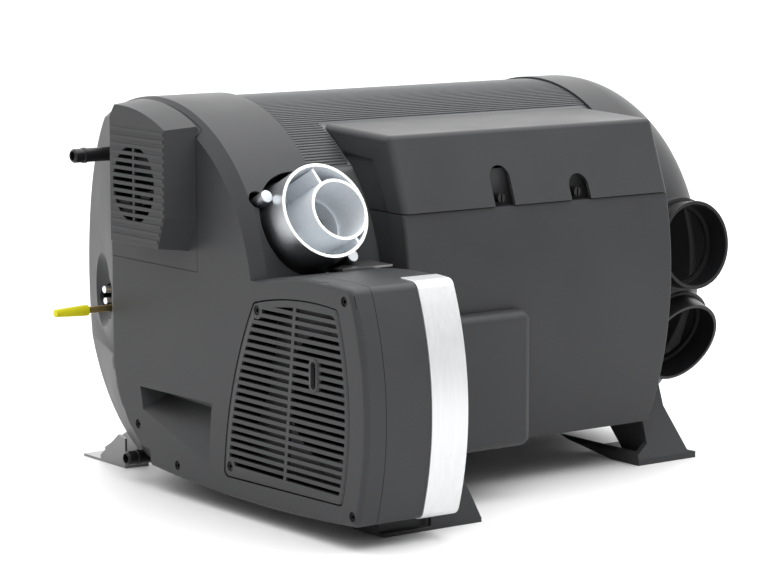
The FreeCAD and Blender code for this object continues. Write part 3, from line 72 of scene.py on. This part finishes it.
def new_finish(name, colour, roughness, metallic=0.0, gloss=0.5):
    material = bpy.data.materials.new(name)
    material.use_nodes = True
    tree = material.node_tree
    shader = tree.nodes["Principled BSDF"]
    shader.inputs["Base Color"].default_value = (*colour, 1.0)
    shader.inputs["Roughness"].default_value = roughness
    shader.inputs["Metallic"].default_value = metallic
    shader.inputs["Specular IOR Level"].default_value = gloss
    return material, tree, shader


def add_noise(tree, scale, detail, stretch=(1.0, 1.0, 1.0)):
    where = tree.nodes.new("ShaderNodeTexCoord")
    turn = tree.nodes.new("ShaderNodeMapping")
    turn.inputs["Scale"].default_value = stretch
    noise = tree.nodes.new("ShaderNodeTexNoise")
    noise.inputs["Scale"].default_value = scale
    noise.inputs["Detail"].default_value = detail
    tree.links.new(where.outputs["Object"], turn.inputs["Vector"])
    tree.links.new(turn.outputs["Vector"], noise.inputs["Vector"])
    return noise.outputs["Fac"]


def vary_colour(tree, shader, source, dark, light):
    ramp = tree.nodes.new("ShaderNodeValToRGB")
    ramp.color_ramp.elements[0].position = LOW_NOISE
    ramp.color_ramp.elements[1].position = HIGH_NOISE
    ramp.color_ramp.elements[0].color = (*dark, 1.0)
    ramp.color_ramp.elements[1].color = (*light, 1.0)
    tree.links.new(source, ramp.inputs["Fac"])
    tree.links.new(ramp.outputs["Color"], shader.inputs["Base Color"])


def vary_roughness(tree, shader, source, low, high):
    spread = tree.nodes.new("ShaderNodeMapRange")
    spread.inputs["From Min"].default_value = LOW_NOISE
    spread.inputs["From Max"].default_value = HIGH_NOISE
    spread.inputs["To Min"].default_value = low
    spread.inputs["To Max"].default_value = high
    tree.links.new(source, spread.inputs["Value"])
    tree.links.new(spread.outputs["Result"], shader.inputs["Roughness"])


def add_bump(tree, shader, source, strength, depth_mm):
    bump = tree.nodes.new("ShaderNodeBump")
    bump.inputs["Strength"].default_value = strength
    bump.inputs["Distance"].default_value = depth_mm * MM
    tree.links.new(source, bump.inputs["Height"])
    tree.links.new(bump.outputs["Normal"], shader.inputs["Normal"])


def shades(colour, shares):
    return [[min(1.0, c * share) for c in colour] for share in shares]


def moulded(name, colour, roughness, grain=1300.0, strength=0.15, gloss=0.22):
    material, tree, shader = new_finish(name, colour, roughness, gloss=gloss)
    clouds = add_noise(tree, CLOUD_SCALE, detail=3.0)
    vary_colour(tree, shader, clouds, *shades(colour, MOULD_SHADE))
    vary_roughness(tree, shader, clouds, roughness - MOULD_SPREAD, roughness + MOULD_SPREAD)
    add_bump(tree, shader, add_noise(tree, grain, detail=2.0), strength, MOULD_GRAIN_MM)
    return material


def metal(name, colour, roughness, grain, stretch, strength, depth_mm, metallic=1.0):
    material, tree, shader = new_finish(name, colour, roughness, metallic)
    grain_height = add_noise(tree, grain, detail=4.0, stretch=stretch)
    smooth, rough = roughness - METAL_SMOOTHER, roughness + METAL_ROUGHER
    vary_colour(tree, shader, grain_height, *shades(colour, METAL_SHADE))
    vary_roughness(tree, shader, grain_height, smooth, rough)
    add_bump(tree, shader, grain_height, strength, depth_mm)
    return material


case_grey = moulded("case_grey", (0.034, 0.035, 0.0365), 0.46)
grille_grey = moulded("grille_grey", (0.038, 0.039, 0.0405), 0.44)
drum_grey = moulded("drum_grey", (0.070, 0.073, 0.075), 0.38, gloss=0.35)
outlet_black = moulded("outlet_black", (0.008, 0.008, 0.009), 0.38, gloss=0.3)
# Near-black painted shade, laid on the bevels beside the joints between mouldings
seam_shade_black = moulded("seam_shade_black", (0.004, 0.004, 0.004), 0.7, gloss=0.1)
screw_black = metal("screw_black", (0.012, 0.012, 0.013), 0.42, 900.0, (1, 1, 1), 0.1, 0.03)
band_silver = metal("band_silver", (0.66, 0.67, 0.68), 0.34, 420.0, (1, 1, 0.02), 0.03, 0.02, 0.6)
cast_silver = metal("cast_silver", (0.50, 0.52, 0.54), 0.34, 500.0, (1, 1, 1), 0.02, 0.03)
bore_silver = metal("bore_silver", (0.80, 0.83, 0.86), 0.42, 400.0, (1, 1, 1), 0.02, 0.03, 0.25)
rim_bright = metal("rim_bright", (0.97, 0.98, 0.98), 0.45, 900.0, (1, 1, 1), 0.02, 0.02)
zinc_plate = metal("zinc_plate", (0.20, 0.20, 0.20), 0.36, 260.0, (1, 1, 1), 0.1, 0.04, 0.8)
plain_steel = metal("plain_steel", (0.5, 0.5, 0.5), 0.4, 600.0, (0.05, 1, 1), 0.1, 0.04)
plain_brass = metal("plain_brass", (0.66, 0.5, 0.22), 0.32, 800.0, (1, 1, 1), 0.06, 0.03)
cap_yellow = moulded("cap_yellow", (0.60, 0.56, 0.015), 0.42, 900.0, 0.1)
gasket_grey = moulded("gasket_grey", (0.02, 0.02, 0.02), 0.8, 700.0, 0.3)
board_green = moulded("board_green", (0.006, 0.028, 0.014), 0.4, 500.0, 0.2)
motor_black = moulded("motor_black", (0.02, 0.02, 0.022), 0.35, 700.0, 0.15)

SLOT_FINISH = {"case_plastic": case_grey, "black_plastic": outlet_black, "dark_steel": screw_black,
               "band_metal": band_silver, "cast_aluminium": cast_silver, "galvanised": zinc_plate,
               "gasket": gasket_grey, "brass": plain_brass, "yellow_plastic": cap_yellow,
               "board": board_green, "motor_paint": motor_black, "steel": plain_steel}

# Every CAD node takes the finish of its slot, but the exhaust duct shows a bare bore
for name, node in frame["nodes"].items():
    bare_bore = name == "exhaust_duct"
    node.data.materials.clear()
    node.data.materials.append(bore_silver if bare_bore else SLOT_FINISH[SLOT_OF[name]])


# Tools for shapes: outlines and places of prisms are in mm, rods take metres
def settle(piece):
    view = bpy.context.evaluated_depsgraph_get()
    mesh = bpy.data.meshes.new_from_object(piece.evaluated_get(view))
    piece.modifiers.clear()
    piece.data = mesh


def paint_faces(piece, finish, wanted):
    piece.data.materials.append(finish)
    index = len(piece.data.materials) - 1
    for face in piece.data.polygons:
        if wanted(face.center, face.normal):
            face.material_index = index


def add_prism(shape, outline, axis, start, end):
    def corner(a, b, t):
        return Vector({"X": (t, a, b), "Y": (a, t, b), "Z": (a, b, t)}[axis]) * MM

    near = [shape.verts.new(corner(a, b, start)) for a, b in outline]
    far = [shape.verts.new(corner(a, b, end)) for a, b in outline]
    shape.faces.new(near)
    shape.faces.new(far[::-1])
    for i in range(len(outline)):
        j = (i + 1) % len(outline)
        shape.faces.new((near[j], near[i], far[i], far[j]))


def add_rod(shape, start, along, radius, sides=24):
    turn = along.to_track_quat("Z", "Y").to_matrix().to_4x4()
    place = Matrix.Translation(start + along / 2) @ turn
    bmesh.ops.create_cone(shape, cap_ends=True, segments=sides, radius1=radius, radius2=radius,
                          depth=along.length, matrix=place)


def oval(y, z, half_y, half_z, steps=24):
    turns = [2 * math.pi * i / steps for i in range(steps)]
    return [(y + half_y * math.cos(t), z + half_z * math.sin(t)) for t in turns]


def shaped_object(name, shape):
    bmesh.ops.recalc_face_normals(shape, faces=shape.faces)
    mesh = bpy.data.meshes.new(name)
    shape.to_mesh(mesh)
    shape.free()
    piece = bpy.data.objects.new(name, mesh)
    bpy.context.collection.objects.link(piece)
    return piece


def break_edges(piece, edge_mm):
    piece.data.shade_smooth()
    piece.data.set_sharp_from_angle(angle=math.radians(SHARP_DEG))
    if edge_mm:
        bevel = piece.modifiers.new("broken_edge", "BEVEL")
        bevel.width = edge_mm * MM
        bevel.segments = 2
        bevel.limit_method = "ANGLE"
        bevel.angle_limit = math.radians(SHARP_DEG)
        bevel.use_clamp_overlap = True
        bevel.miter_outer = "MITER_ARC"
    even = piece.modifiers.new("even_faces", "WEIGHTED_NORMAL")
    even.keep_sharp = True
    even.weight = NORMAL_WEIGHT
    settle(piece)


def carve(piece, cutter):
    cut = piece.modifiers.new("carve", "BOOLEAN")
    cut.operation = "DIFFERENCE"
    cut.solver = "EXACT"
    cut.use_self = True
    cut.object = cutter
    settle(piece)
    bpy.data.objects.remove(cutter)


def merge_flat_faces(shape):
    bmesh.ops.dissolve_limit(shape, angle_limit=math.radians(FLAT_DEG), verts=shape.verts,
                             edges=shape.edges)


# The lid's notches and the pegs behind them stand further right and lower than the solid's.
# NOTCH_SIDE is the height of each notch's straight sides, SAME_PLANE an angle in radians.
NOTCH_X = (-10.5 * MM, 58.0 * MM)
NOTCH_HALF = 9.6 * MM
NOTCH_SIDE = (26.0 * MM, 15.0 * MM)
NOTCH_ASIDE = (10.35 * MM, 16.3 * MM)
NOTCH_DROP = (5.3 * MM, 4.6 * MM)
PEG_DROP = 4.5 * MM
CROWN_MARGIN = 1.0 * MM
LID_WALL_Y = -90.0 * MM
WALL_FACING = 0.9
SAME_PLANE = 0.005


def move_notches(shape):
    low = min(v.co.z for v in shape.verts)
    for side in (-1, 1):
        in_wall = [f for f in shape.faces if f.calc_center_median().y < LID_WALL_Y]
        facing = [f for f in in_wall if f.normal.y * side > WALL_FACING]
        widest = max(facing, key=lambda f: f.calc_area()).normal.copy()
        lean = -widest.z / widest.y
        flat = [f for f in facing if f.normal.angle(widest) < SAME_PLANE]
        bmesh.ops.dissolve_faces(shape, faces=flat)
    for vert in shape.verts:
        for x, side_height, aside, drop in zip(NOTCH_X, NOTCH_SIDE, NOTCH_ASIDE, NOTCH_DROP):
            in_notch = abs(vert.co.x - x) < NOTCH_HALF and vert.co.y < LID_WALL_Y
            if in_notch and vert.co.z < low + side_height + NOTCH_HALF:
                vert.co.x += aside
                if vert.co.z > low + side_height - CROWN_MARGIN:
                    vert.co.z -= drop
                    vert.co.y -= lean * drop
                break


def move_pegs(shape):
    for vert in shape.verts:
        peg = 0 if abs(vert.co.x - NOTCH_X[0]) < abs(vert.co.x - NOTCH_X[1]) else 1
        vert.co.x += NOTCH_ASIDE[peg]
        vert.co.z -= PEG_DROP


# The strip that carries the pegs reaches past the right one
STRIP_END_X = 78.0 * MM
STRIP_END_NEAR = 0.1 * MM
STRIP_LONGER = 14.0 * MM
STRIP_FRONT_Y = -105.0 * MM
STRIP_BACK_Y = -100.0 * MM
STRIP_LOW_Z = 215.0 * MM


def widen_strip(shape):
    merge_flat_faces(shape)
    for vert in shape.verts:
        at_end = abs(vert.co.x - STRIP_END_X) < STRIP_END_NEAR
        if at_end and STRIP_FRONT_Y < vert.co.y < STRIP_BACK_Y and vert.co.z > STRIP_LOW_Z:
            vert.co.x += STRIP_LONGER


# An oval opening in the wall of the gas pocket
def tap_opening():
    front, back = -204.0, -170.0
    shape = bmesh.new()
    add_prism(shape, oval(y=149.0, z=136.0, half_y=25.0, half_z=12.5), "X", front, back)
    return shaped_object("tap_opening", shape)


# The tall notch goes right through the lid's wall up to its crown
def tall_notch():
    middle, half, foot, crown = -0.15, 9.6, 215.0, 251.6
    front, back = -130.0, -95.0
    steps = 16
    arc = [math.pi * i / steps for i in range(steps + 1)]
    outline = [(middle - half, foot), (middle + half, foot)]
    outline += [(middle + half * math.cos(t), crown - half + half * math.sin(t)) for t in arc]
    shape = bmesh.new()
    add_prism(shape, outline, "Y", front, back)
    return shaped_object("tall_notch", shape)


RESHAPE = {"service_lid": move_notches, "lid_pegs": move_pegs, "side_panel": widen_strip}
CUTTER = {"front_housing": tap_opening, "service_lid": tall_notch}


# Outer pieces: the solid's own form with its edges broken as a moulding's are
def skin_of(name, edge_mm, finish):
    mesh = frame["nodes"][name].data.copy()
    shape = bmesh.new()
    shape.from_mesh(mesh)
    bmesh.ops.remove_doubles(shape, verts=shape.verts, dist=WELD)
    if name in RESHAPE:
        RESHAPE[name](shape)
    if edge_mm:
        merge_flat_faces(shape)
    shape.to_mesh(mesh)
    shape.free()
    mesh.materials.clear()
    mesh.materials.append(finish)
    piece = bpy.data.objects.new(name + "_skin", mesh)
    bpy.context.collection.objects.link(piece)
    if name in CUTTER:
        carve(piece, CUTTER[name]())
    break_edges(piece, edge_mm)
    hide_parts(name)
    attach(piece, BODY_OF[name])
    return piece


# Node, width of its broken edges in mm (0.0 leaves them sharp), finish
OUTER = [
    ("front_housing", 0.7, case_grey),
    ("electronics_cover", 0.5, case_grey),
    ("blower_housing", 0.6, case_grey),
    ("side_panel", 0.8, case_grey),
    ("service_lid", 0.0, case_grey),
    ("rear_cap", 0.8, case_grey),
    ("intake_grille", 0.0, grille_grey),
    ("trim_band", 0.25, band_silver),
    ("front_foot", 0.6, case_grey),
    ("rear_foot_front", 0.8, case_grey),
    ("rear_foot_back", 0.8, case_grey),
    ("flue_bracket", 0.2, zinc_plate),
    ("flue_casting", 0.4, cast_silver),
    ("warm_air_outlet_front_upper", 0.4, outlet_black),
    ("warm_air_outlet_front_lower", 0.4, outlet_black),
    ("warm_air_outlet_back_upper", 0.4, outlet_black),
    ("warm_air_outlet_back_lower", 0.4, outlet_black),
    ("hot_water_fitting", 0.3, outlet_black),
    ("cold_water_fitting", 0.3, outlet_black),
    ("gas_cap", 0.4, cap_yellow),
    ("gas_inlet_pipe", 0.2, plain_brass),
    ("gas_nut", 0.3, plain_brass),
    ("lid_pegs", 0.3, outlet_black),
]
skins = {name: skin_of(name, edge_mm, finish) for name, edge_mm, finish in OUTER}


# The plated channel foot: a base with a screw hole, and a flange along its front and back
BRACKET_HOLE = (-168.0, 190.0)
BRACKET_HOLE_R = 3.2


def left_bracket():
    front, back, inner, outer, thick = -179.0, -157.0, 140.0, 204.0, 2.0
    lip, sunk, inset = 5.0, 0.5, 0.05
    peak_y, back_peak, back_near = 150.0, 33.5, 26.5
    front_end, front_peak, front_near = 178.0, 26.0, 24.0
    spare = 1.0
    near, far = inner + inset, outer - inset
    base = [(front, inner), (back, inner), (back, outer), (front, outer)]
    back_flange = [(near, sunk), (far, sunk), (far, lip), (peak_y, back_peak), (near, back_near)]
    front_flange = [(near, sunk), (front_end, sunk), (front_end, lip), (peak_y, front_peak),
                    (near, front_near)]
    shape = bmesh.new()
    add_prism(shape, base, "Z", 0.0, thick)
    add_prism(shape, back_flange, "X", back - thick, back - inset)
    add_prism(shape, front_flange, "X", front + inset, front + thick)
    piece = shaped_object("left_bracket_plate", shape)
    hole = bmesh.new()
    through = Vector((0.0, 0.0, thick + 2 * spare)) * MM
    add_rod(hole, Vector((*BRACKET_HOLE, -spare)) * MM, through, BRACKET_HOLE_R * MM)
    carve(piece, shaped_object("bracket_hole", hole))
    piece.data.materials.append(zinc_plate)
    break_edges(piece, 0.3)
    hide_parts("left_bracket")
    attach(piece, "case")


# Cross webs that close the hollow rear feet up to the rear cap
CAP_R = 148.5
WEB_GAP = 0.5
WEB_X = (169.0, 173.0)
WEB_FOOT = [(-90.0, 4.9), (-61.0, 4.9)]
WEB_SEAT_Y = (-33.0, -70.0)
WEB_SEAT_STEPS = 8
WEB_SHOULDER = (-75.0, 58.0)


def foot_web(name, mirrored):
    start, end = WEB_SEAT_Y
    seat = []
    for i in range(WEB_SEAT_STEPS + 1):
        y = start + (end - start) * i / WEB_SEAT_STEPS
        drop = math.sqrt((CAP_R + WEB_GAP) ** 2 - (y - AXIS.y / MM) ** 2)
        seat.append((y, AXIS.z / MM - drop))
    outline = WEB_FOOT + seat + [WEB_SHOULDER]
    if mirrored:
        outline = [(2 * AXIS.y / MM - y, z) for y, z in outline]
    shape = bmesh.new()
    add_prism(shape, outline, "X", *WEB_X)
    piece = shaped_object(name, shape)
    piece.data.materials.append(case_grey)
    break_edges(piece, 0.3)
    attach(piece, "case")


# Cast lugs beside the flue ring: turn round its axis in degrees, then in mm their reach from
# that axis and their near and far end along it
FLUE_LUGS = ((152.0, 41.0, 138.0, 158.0), (-54.0, 39.5, 149.0, 160.0))
LUG_R = 4.8 * MM


def flue_lugs():
    across = Vector((0.0, FLUE_DIRECTION.z, -FLUE_DIRECTION.y))
    shape = bmesh.new()
    for degrees, reach, near, far in FLUE_LUGS:
        turn = math.radians(degrees)
        foot = Vector((FLUE_X, AXIS.y, AXIS.z)) + FLUE_DIRECTION * near * MM
        foot += Vector((reach * MM * math.cos(turn), 0.0, 0.0))
        foot += across * (reach * MM * math.sin(turn))
        add_rod(shape, foot, FLUE_DIRECTION * (far - near) * MM, LUG_R)
    piece = shaped_object("flue_lugs", shape)
    piece.data.materials.append(cast_silver)
    break_edges(piece, 0.5)
    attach(piece, "case")


# Two bright tap nuts behind the opening, which stand on the front bulkhead: y, z, radius, sides
TAP_NUTS = ((167.5, 140.5, 3.2, 6), (166.0, 131.5, 2.8, 24))
TAP_FRONT_X = -180.0
TAP_LENGTH = 17.0


def gas_tap():
    along = Vector((TAP_LENGTH, 0.0, 0.0)) * MM
    shape = bmesh.new()
    for y, z, radius, sides in TAP_NUTS:
        add_rod(shape, Vector((TAP_FRONT_X, y, z)) * MM, along, radius * MM, sides)
    piece = shaped_object("gas_tap_nuts", shape)
    piece.data.materials.append(rim_bright)
    break_edges(piece, 0.6)
    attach(piece, "case")


# The casting's cut rims are bright, and its bores show the bare skin of the casting
BORE_DEPTH = 60.0 * MM
BORE_R = 35.2 * MM
RIM_SKIN = 0.02 * MM


def flue_depth(point):
    return FLUE_MOUTH - (point - AXIS).dot(FLUE_DIRECTION)


def in_flue_bore(centre, normal):
    start = Vector((FLUE_X, AXIS.y, AXIS.z))
    along = (centre - start).dot(FLUE_DIRECTION)
    out = centre - start - FLUE_DIRECTION * along
    return flue_depth(centre) < BORE_DEPTH and out.length < BORE_R


paint_faces(skins["flue_casting"], bore_silver, in_flue_bore)
paint_faces(skins["flue_casting"], rim_bright, lambda c, n: flue_depth(c) < RIM_SKIN)

# Painted shade at the joints between the mouldings: the joints are thin real gaps, and faces
# within SEAM of a joint that look its way are painted near-black to stand in for the shade in the
# gap, so each joint reads as a dark line
COVER_RIGHT_Y = -10.1 * MM
COVER_LOW_Z = 176.2 * MM
COVER_BACK_X = -200.4 * MM
SNOUT_SEAM_X = -189.0 * MM
SNOUT_LEFT_Y = -95.0 * MM
SEAM = 0.9 * MM
LOOKS = 0.3


def cover_seam_shade(centre, normal):
    right = centre.y < COVER_RIGHT_Y + SEAM and normal.y < -LOOKS
    low = centre.z < COVER_LOW_Z + SEAM and normal.z < -LOOKS
    back = centre.x > COVER_BACK_X - SEAM and normal.x > LOOKS
    return right or low or back


def front_seam_shade(centre, normal):
    near_snout = abs(centre.x - SNOUT_SEAM_X) < SEAM and centre.y < SNOUT_LEFT_Y
    near_cover = abs(centre.z - COVER_LOW_Z) < SEAM and centre.x < COVER_BACK_X
    return near_snout and normal.x > LOOKS or near_cover and normal.z > LOOKS


def blower_seam_shade(centre, normal):
    return abs(centre.x - SNOUT_SEAM_X) < SEAM and normal.x < -LOOKS


# The bevels beside each joint are painted near-black as painted shade
paint_faces(skins["electronics_cover"], seam_shade_black, cover_seam_shade)
paint_faces(skins["front_housing"], seam_shade_black, front_seam_shade)
paint_faces(skins["blower_housing"], seam_shade_black, blower_seam_shade)
left_bracket()
foot_web("rear_foot_front_web", False)
foot_web("rear_foot_back_web", True)
flue_lugs()
gas_tap()


# Small pieces that repeat: one node tree for each kind, placed on its points
def start_tree(name, inputs):
    tree = bpy.data.node_groups.new(name, "GeometryNodeTree")
    tree.interface.new_socket("Places", in_out="INPUT", socket_type="NodeSocketGeometry")
    for label, kind in inputs:
        tree.interface.new_socket(label, in_out="INPUT", socket_type=kind)
    tree.interface.new_socket("Geometry", in_out="OUTPUT", socket_type="NodeSocketGeometry")
    return tree, tree.nodes.new("NodeGroupInput"), tree.nodes.new("NodeGroupOutput")


def place_copies(tree, enter, leave, copy, facing):
    turn = tree.nodes.new("FunctionNodeAlignRotationToVector")
    turn.axis = "Z"
    spread = tree.nodes.new("GeometryNodeInstanceOnPoints")
    real = tree.nodes.new("GeometryNodeRealizeInstances")
    coat = tree.nodes.new("GeometryNodeSetMaterial")
    tree.links.new(facing, turn.inputs["Vector"])
    tree.links.new(enter.outputs["Places"], spread.inputs["Points"])
    tree.links.new(copy, spread.inputs["Instance"])
    tree.links.new(turn.outputs["Rotation"], spread.inputs["Rotation"])
    tree.links.new(spread.outputs["Instances"], real.inputs["Geometry"])
    tree.links.new(real.outputs["Geometry"], coat.inputs["Geometry"])
    tree.links.new(enter.outputs["Finish"], coat.inputs["Material"])
    tree.links.new(coat.outputs["Geometry"], leave.inputs["Geometry"])


# The socket's cutter is raised by this share of the head's height
SOCKET_LIFT = 0.4


def socket_screw_tree():
    tree, enter, leave = start_tree("socket_screws", [
        ("Facing", "NodeSocketVector"), ("Head Radius", "NodeSocketFloat"),
        ("Head Height", "NodeSocketFloat"), ("Socket Radius", "NodeSocketFloat"),
        ("Finish", "NodeSocketMaterial")])
    head = tree.nodes.new("GeometryNodeMeshCylinder")
    head.inputs["Vertices"].default_value = 28
    socket = tree.nodes.new("GeometryNodeMeshCylinder")
    socket.inputs["Vertices"].default_value = 6
    lift = tree.nodes.new("ShaderNodeCombineXYZ")
    raised = tree.nodes.new("GeometryNodeTransform")
    bite = tree.nodes.new("GeometryNodeMeshBoolean")
    bite.operation = "DIFFERENCE"
    tree.links.new(enter.outputs["Head Radius"], head.inputs["Radius"])
    tree.links.new(enter.outputs["Head Height"], head.inputs["Depth"])
    tree.links.new(enter.outputs["Socket Radius"], socket.inputs["Radius"])
    tree.links.new(enter.outputs["Head Height"], socket.inputs["Depth"])
    tree.links.new(enter.outputs["Head Height"], lift.inputs["Z"])
    tree.links.new(socket.outputs["Mesh"], raised.inputs["Geometry"])
    part_way = tree.nodes.new("ShaderNodeVectorMath")
    part_way.operation = "SCALE"
    part_way.inputs["Scale"].default_value = SOCKET_LIFT
    tree.links.new(lift.outputs["Vector"], part_way.inputs[0])
    tree.links.new(part_way.outputs["Vector"], raised.inputs["Translation"])
    tree.links.new(head.outputs["Mesh"], bite.inputs["Mesh 1"])
    tree.links.new(raised.outputs["Geometry"], bite.inputs["Mesh 2"])
    place_copies(tree, enter, leave, bite.outputs["Mesh"], enter.outputs["Facing"])
    return tree


def drum_rib_tree():
    tree, enter, leave = start_tree("drum_ribs", [
        ("Axis", "NodeSocketVector"), ("Rib Radius", "NodeSocketFloat"),
        ("Rib Length", "NodeSocketFloat"), ("Finish", "NodeSocketMaterial")])
    rib = tree.nodes.new("GeometryNodeMeshCylinder")
    rib.inputs["Vertices"].default_value = 8
    along = tree.nodes.new("GeometryNodeTransform")
    along.inputs["Rotation"].default_value = (0.0, math.radians(90.0), 0.0)
    here = tree.nodes.new("GeometryNodeInputPosition")
    out = tree.nodes.new("ShaderNodeVectorMath")
    out.operation = "SUBTRACT"
    flat = tree.nodes.new("ShaderNodeVectorMath")
    flat.operation = "MULTIPLY"
    flat.inputs[1].default_value = (0.0, 1.0, 1.0)
    tree.links.new(enter.outputs["Rib Radius"], rib.inputs["Radius"])
    tree.links.new(enter.outputs["Rib Length"], rib.inputs["Depth"])
    tree.links.new(rib.outputs["Mesh"], along.inputs["Geometry"])
    tree.links.new(here.outputs["Position"], out.inputs[0])
    tree.links.new(enter.outputs["Axis"], out.inputs[1])
    tree.links.new(out.outputs["Vector"], flat.inputs[0])
    place_copies(tree, enter, leave, along.outputs["Geometry"], flat.outputs["Vector"])
    return tree


def grow(name, tree, places, values):
    mesh = bpy.data.meshes.new(name)
    mesh.from_pydata(places, [], [])
    piece = bpy.data.objects.new(name, mesh)
    bpy.context.collection.objects.link(piece)
    nodes = piece.modifiers.new("nodes", "NODES")
    nodes.node_group = tree
    for socket in tree.interface.items_tree:
        if socket.name in values:
            nodes[socket.identifier] = values[socket.name]
    settle(piece)
    return piece


# Screw heads sunk into the front face: y and z of each
FACE_X = -206.0
SCREW_SINK = 1.8
SCREW_PLACES = {"bezel_screws": [(-196.5, 176.5), (-206.0, 26.0)],
                "housing_screws": [(76.0, 49.0), (20.0, 25.5)],
                "grille_screws": [(-51.5, 36.7), (-88.0, 157.3)]}
screw_look = {"Facing": (-1.0, 0.0, 0.0), "Head Radius": 3.3 * MM, "Head Height": 2.0 * MM,
              "Socket Radius": 1.6 * MM, "Finish": screw_black}
screws = socket_screw_tree()
for name, places in SCREW_PLACES.items():
    points = [((FACE_X + SCREW_SINK) * MM, y * MM, z * MM) for y, z in places]
    head = grow(name + "_heads", screws, points, screw_look)
    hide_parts(name)
    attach(head, "case")


# The drum: a plain barrel of radius DRUM_VALLEY with fine ribs laid along it.
# A row of ribs has a name, its first and last turn in degrees and its front and back x in mm.
DRUM_VALLEY = 146.0 * MM
DRUM_FRONT_X = -134.4 * MM
RIB_STEP_DEG = 1.12
RIB_R = 0.95 * MM
RIB_ROWS = (("drum_ribs", 63.0, 330.0, -134.0, 167.8),
            ("drum_ribs_low", 44.0, 61.9, -134.0, -96.5))


def drum_barrel():
    mesh = frame["nodes"]["drum_shell"].data.copy()
    shape = bmesh.new()
    shape.from_mesh(mesh)
    bmesh.ops.remove_doubles(shape, verts=shape.verts, dist=WELD)
    for vert in shape.verts:
        out = Vector((0.0, vert.co.y - AXIS.y, vert.co.z - AXIS.z))
        if out.length > DRUM_VALLEY and vert.co.x > DRUM_FRONT_X:
            vert.co -= out * (1.0 - DRUM_VALLEY / out.length)
    shape.to_mesh(mesh)
    shape.free()
    mesh.materials.clear()
    mesh.materials.append(drum_grey)
    mesh.shade_smooth()
    mesh.set_sharp_from_angle(angle=math.radians(SHARP_DEG))
    piece = bpy.data.objects.new("drum_barrel", mesh)
    bpy.context.collection.objects.link(piece)
    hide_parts("drum_shell")
    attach(piece, "case")


def rib_places(first_deg, last_deg, middle_x):
    count = round((last_deg - first_deg) / RIB_STEP_DEG)
    places = []
    for i in range(count + 1):
        turn = math.radians(first_deg + i * RIB_STEP_DEG)
        y = AXIS.y - DRUM_VALLEY * math.cos(turn)
        z = AXIS.z + DRUM_VALLEY * math.sin(turn)
        places.append((middle_x, y, z))
    return places


drum_barrel()
rib_tree = drum_rib_tree()
for name, first, last, front, back in RIB_ROWS:
    rib_look = {"Axis": AXIS, "Rib Radius": RIB_R, "Rib Length": (back - front) * MM,
                "Finish": drum_grey}
    ribs = grow(name, rib_tree, rib_places(first, last, (front + back) / 2 * MM), rib_look)
    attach(ribs, "case")


# Floor, light and camera, in metres
FLOOR_HALF = 30.0
FLOOR_GREY = 0.76


def studio_floor():
    half = FLOOR_HALF
    corners = [(-half, -half, 0), (half, -half, 0), (half, half, 0), (-half, half, 0)]
    mesh = bpy.data.meshes.new("floor")
    mesh.from_pydata(corners, [], [(0, 1, 2, 3)])
    floor = bpy.data.objects.new("floor", mesh)
    bpy.context.collection.objects.link(floor)
    material, tree, shader = new_finish("floor_white", (FLOOR_GREY,) * 3, roughness=0.5, gloss=0.1)
    noise = add_noise(tree, scale=3.0, detail=2.0)
    vary_roughness(tree, shader, noise, low=0.45, high=0.55)
    mesh.materials.append(material)


def soft_box(name, place, aim, side, power):
    light = bpy.data.lights.new(name, "AREA")
    light.shape = "SQUARE"
    light.size = side
    light.energy = power
    lamp = bpy.data.objects.new(name, light)
    bpy.context.collection.objects.link(lamp)
    lamp.location = place
    lamp.rotation_euler = (Vector(aim) - Vector(place)).to_track_quat("-Z", "Y").to_euler()


# The sky is bright behind and above the heater and dim on the camera's side
SKY_DIM_UNTIL = -0.3
SKY_BRIGHT_FROM = 0.9


def studio_world(bright_side, near, far):
    world = bpy.data.worlds.new("studio")
    bpy.context.scene.world = world
    world.use_nodes = True
    tree = world.node_tree
    back = tree.nodes["Background"]
    back.inputs["Color"].default_value = (1.0, 1.0, 1.0, 1.0)
    where = tree.nodes.new("ShaderNodeTexCoord")
    side = tree.nodes.new("ShaderNodeVectorMath")
    side.operation = "DOT_PRODUCT"
    side.inputs[1].default_value = bright_side
    spread = tree.nodes.new("ShaderNodeMapRange")
    spread.inputs["From Min"].default_value = SKY_DIM_UNTIL
    spread.inputs["From Max"].default_value = SKY_BRIGHT_FROM
    spread.inputs["To Min"].default_value = near
    spread.inputs["To Max"].default_value = far
    tree.links.new(where.outputs["Generated"], side.inputs[0])
    tree.links.new(side.outputs["Value"], spread.inputs["Value"])
    tree.links.new(spread.outputs["Result"], back.inputs["Strength"])


# The camera fitted to the photograph, with its focal length in the photograph's pixels
CAMERA_TURN = math.radians(-36.5)
CAMERA_LIFT = math.radians(8.3)
CAMERA_AIM = Vector((-18.0, 4.0, 142.9)) * MM
CAMERA_AWAY = 2.35
FOCAL_PX = 3000.0
PHOTO_WIDTH_PX = 780.0
SENSOR_MM = 36.0


def photo_camera():
    level = math.cos(CAMERA_LIFT)
    back = Vector((math.sin(CAMERA_TURN) * level, -math.cos(CAMERA_TURN) * level,
                   math.sin(CAMERA_LIFT)))
    data = bpy.data.cameras.new("photo_camera")
    data.sensor_fit = "HORIZONTAL"
    data.sensor_width = SENSOR_MM
    data.lens = FOCAL_PX * SENSOR_MM / PHOTO_WIDTH_PX
    camera = bpy.data.objects.new("photo_camera", data)
    bpy.context.collection.objects.link(camera)
    camera.location = CAMERA_AIM + back * CAMERA_AWAY
    camera.rotation_euler = (-back).to_track_quat("-Z", "Y").to_euler()
    bpy.context.scene.camera = camera


studio_floor()
studio_world(bright_side=(0.42, 0.57, 0.70), near=0.2, far=2.3)
soft_box("overhead", place=(0.1, -0.6, 2.3), aim=(0.0, 0.0, 0.1), side=3.2, power=62.0)
soft_box("left_front", place=(-1.5, -1.9, 2.0), aim=(-0.1, 0.0, 0.15), side=1.4, power=14.0)
photo_camera()
bpy.context.scene.view_settings.view_transform = "Standard"
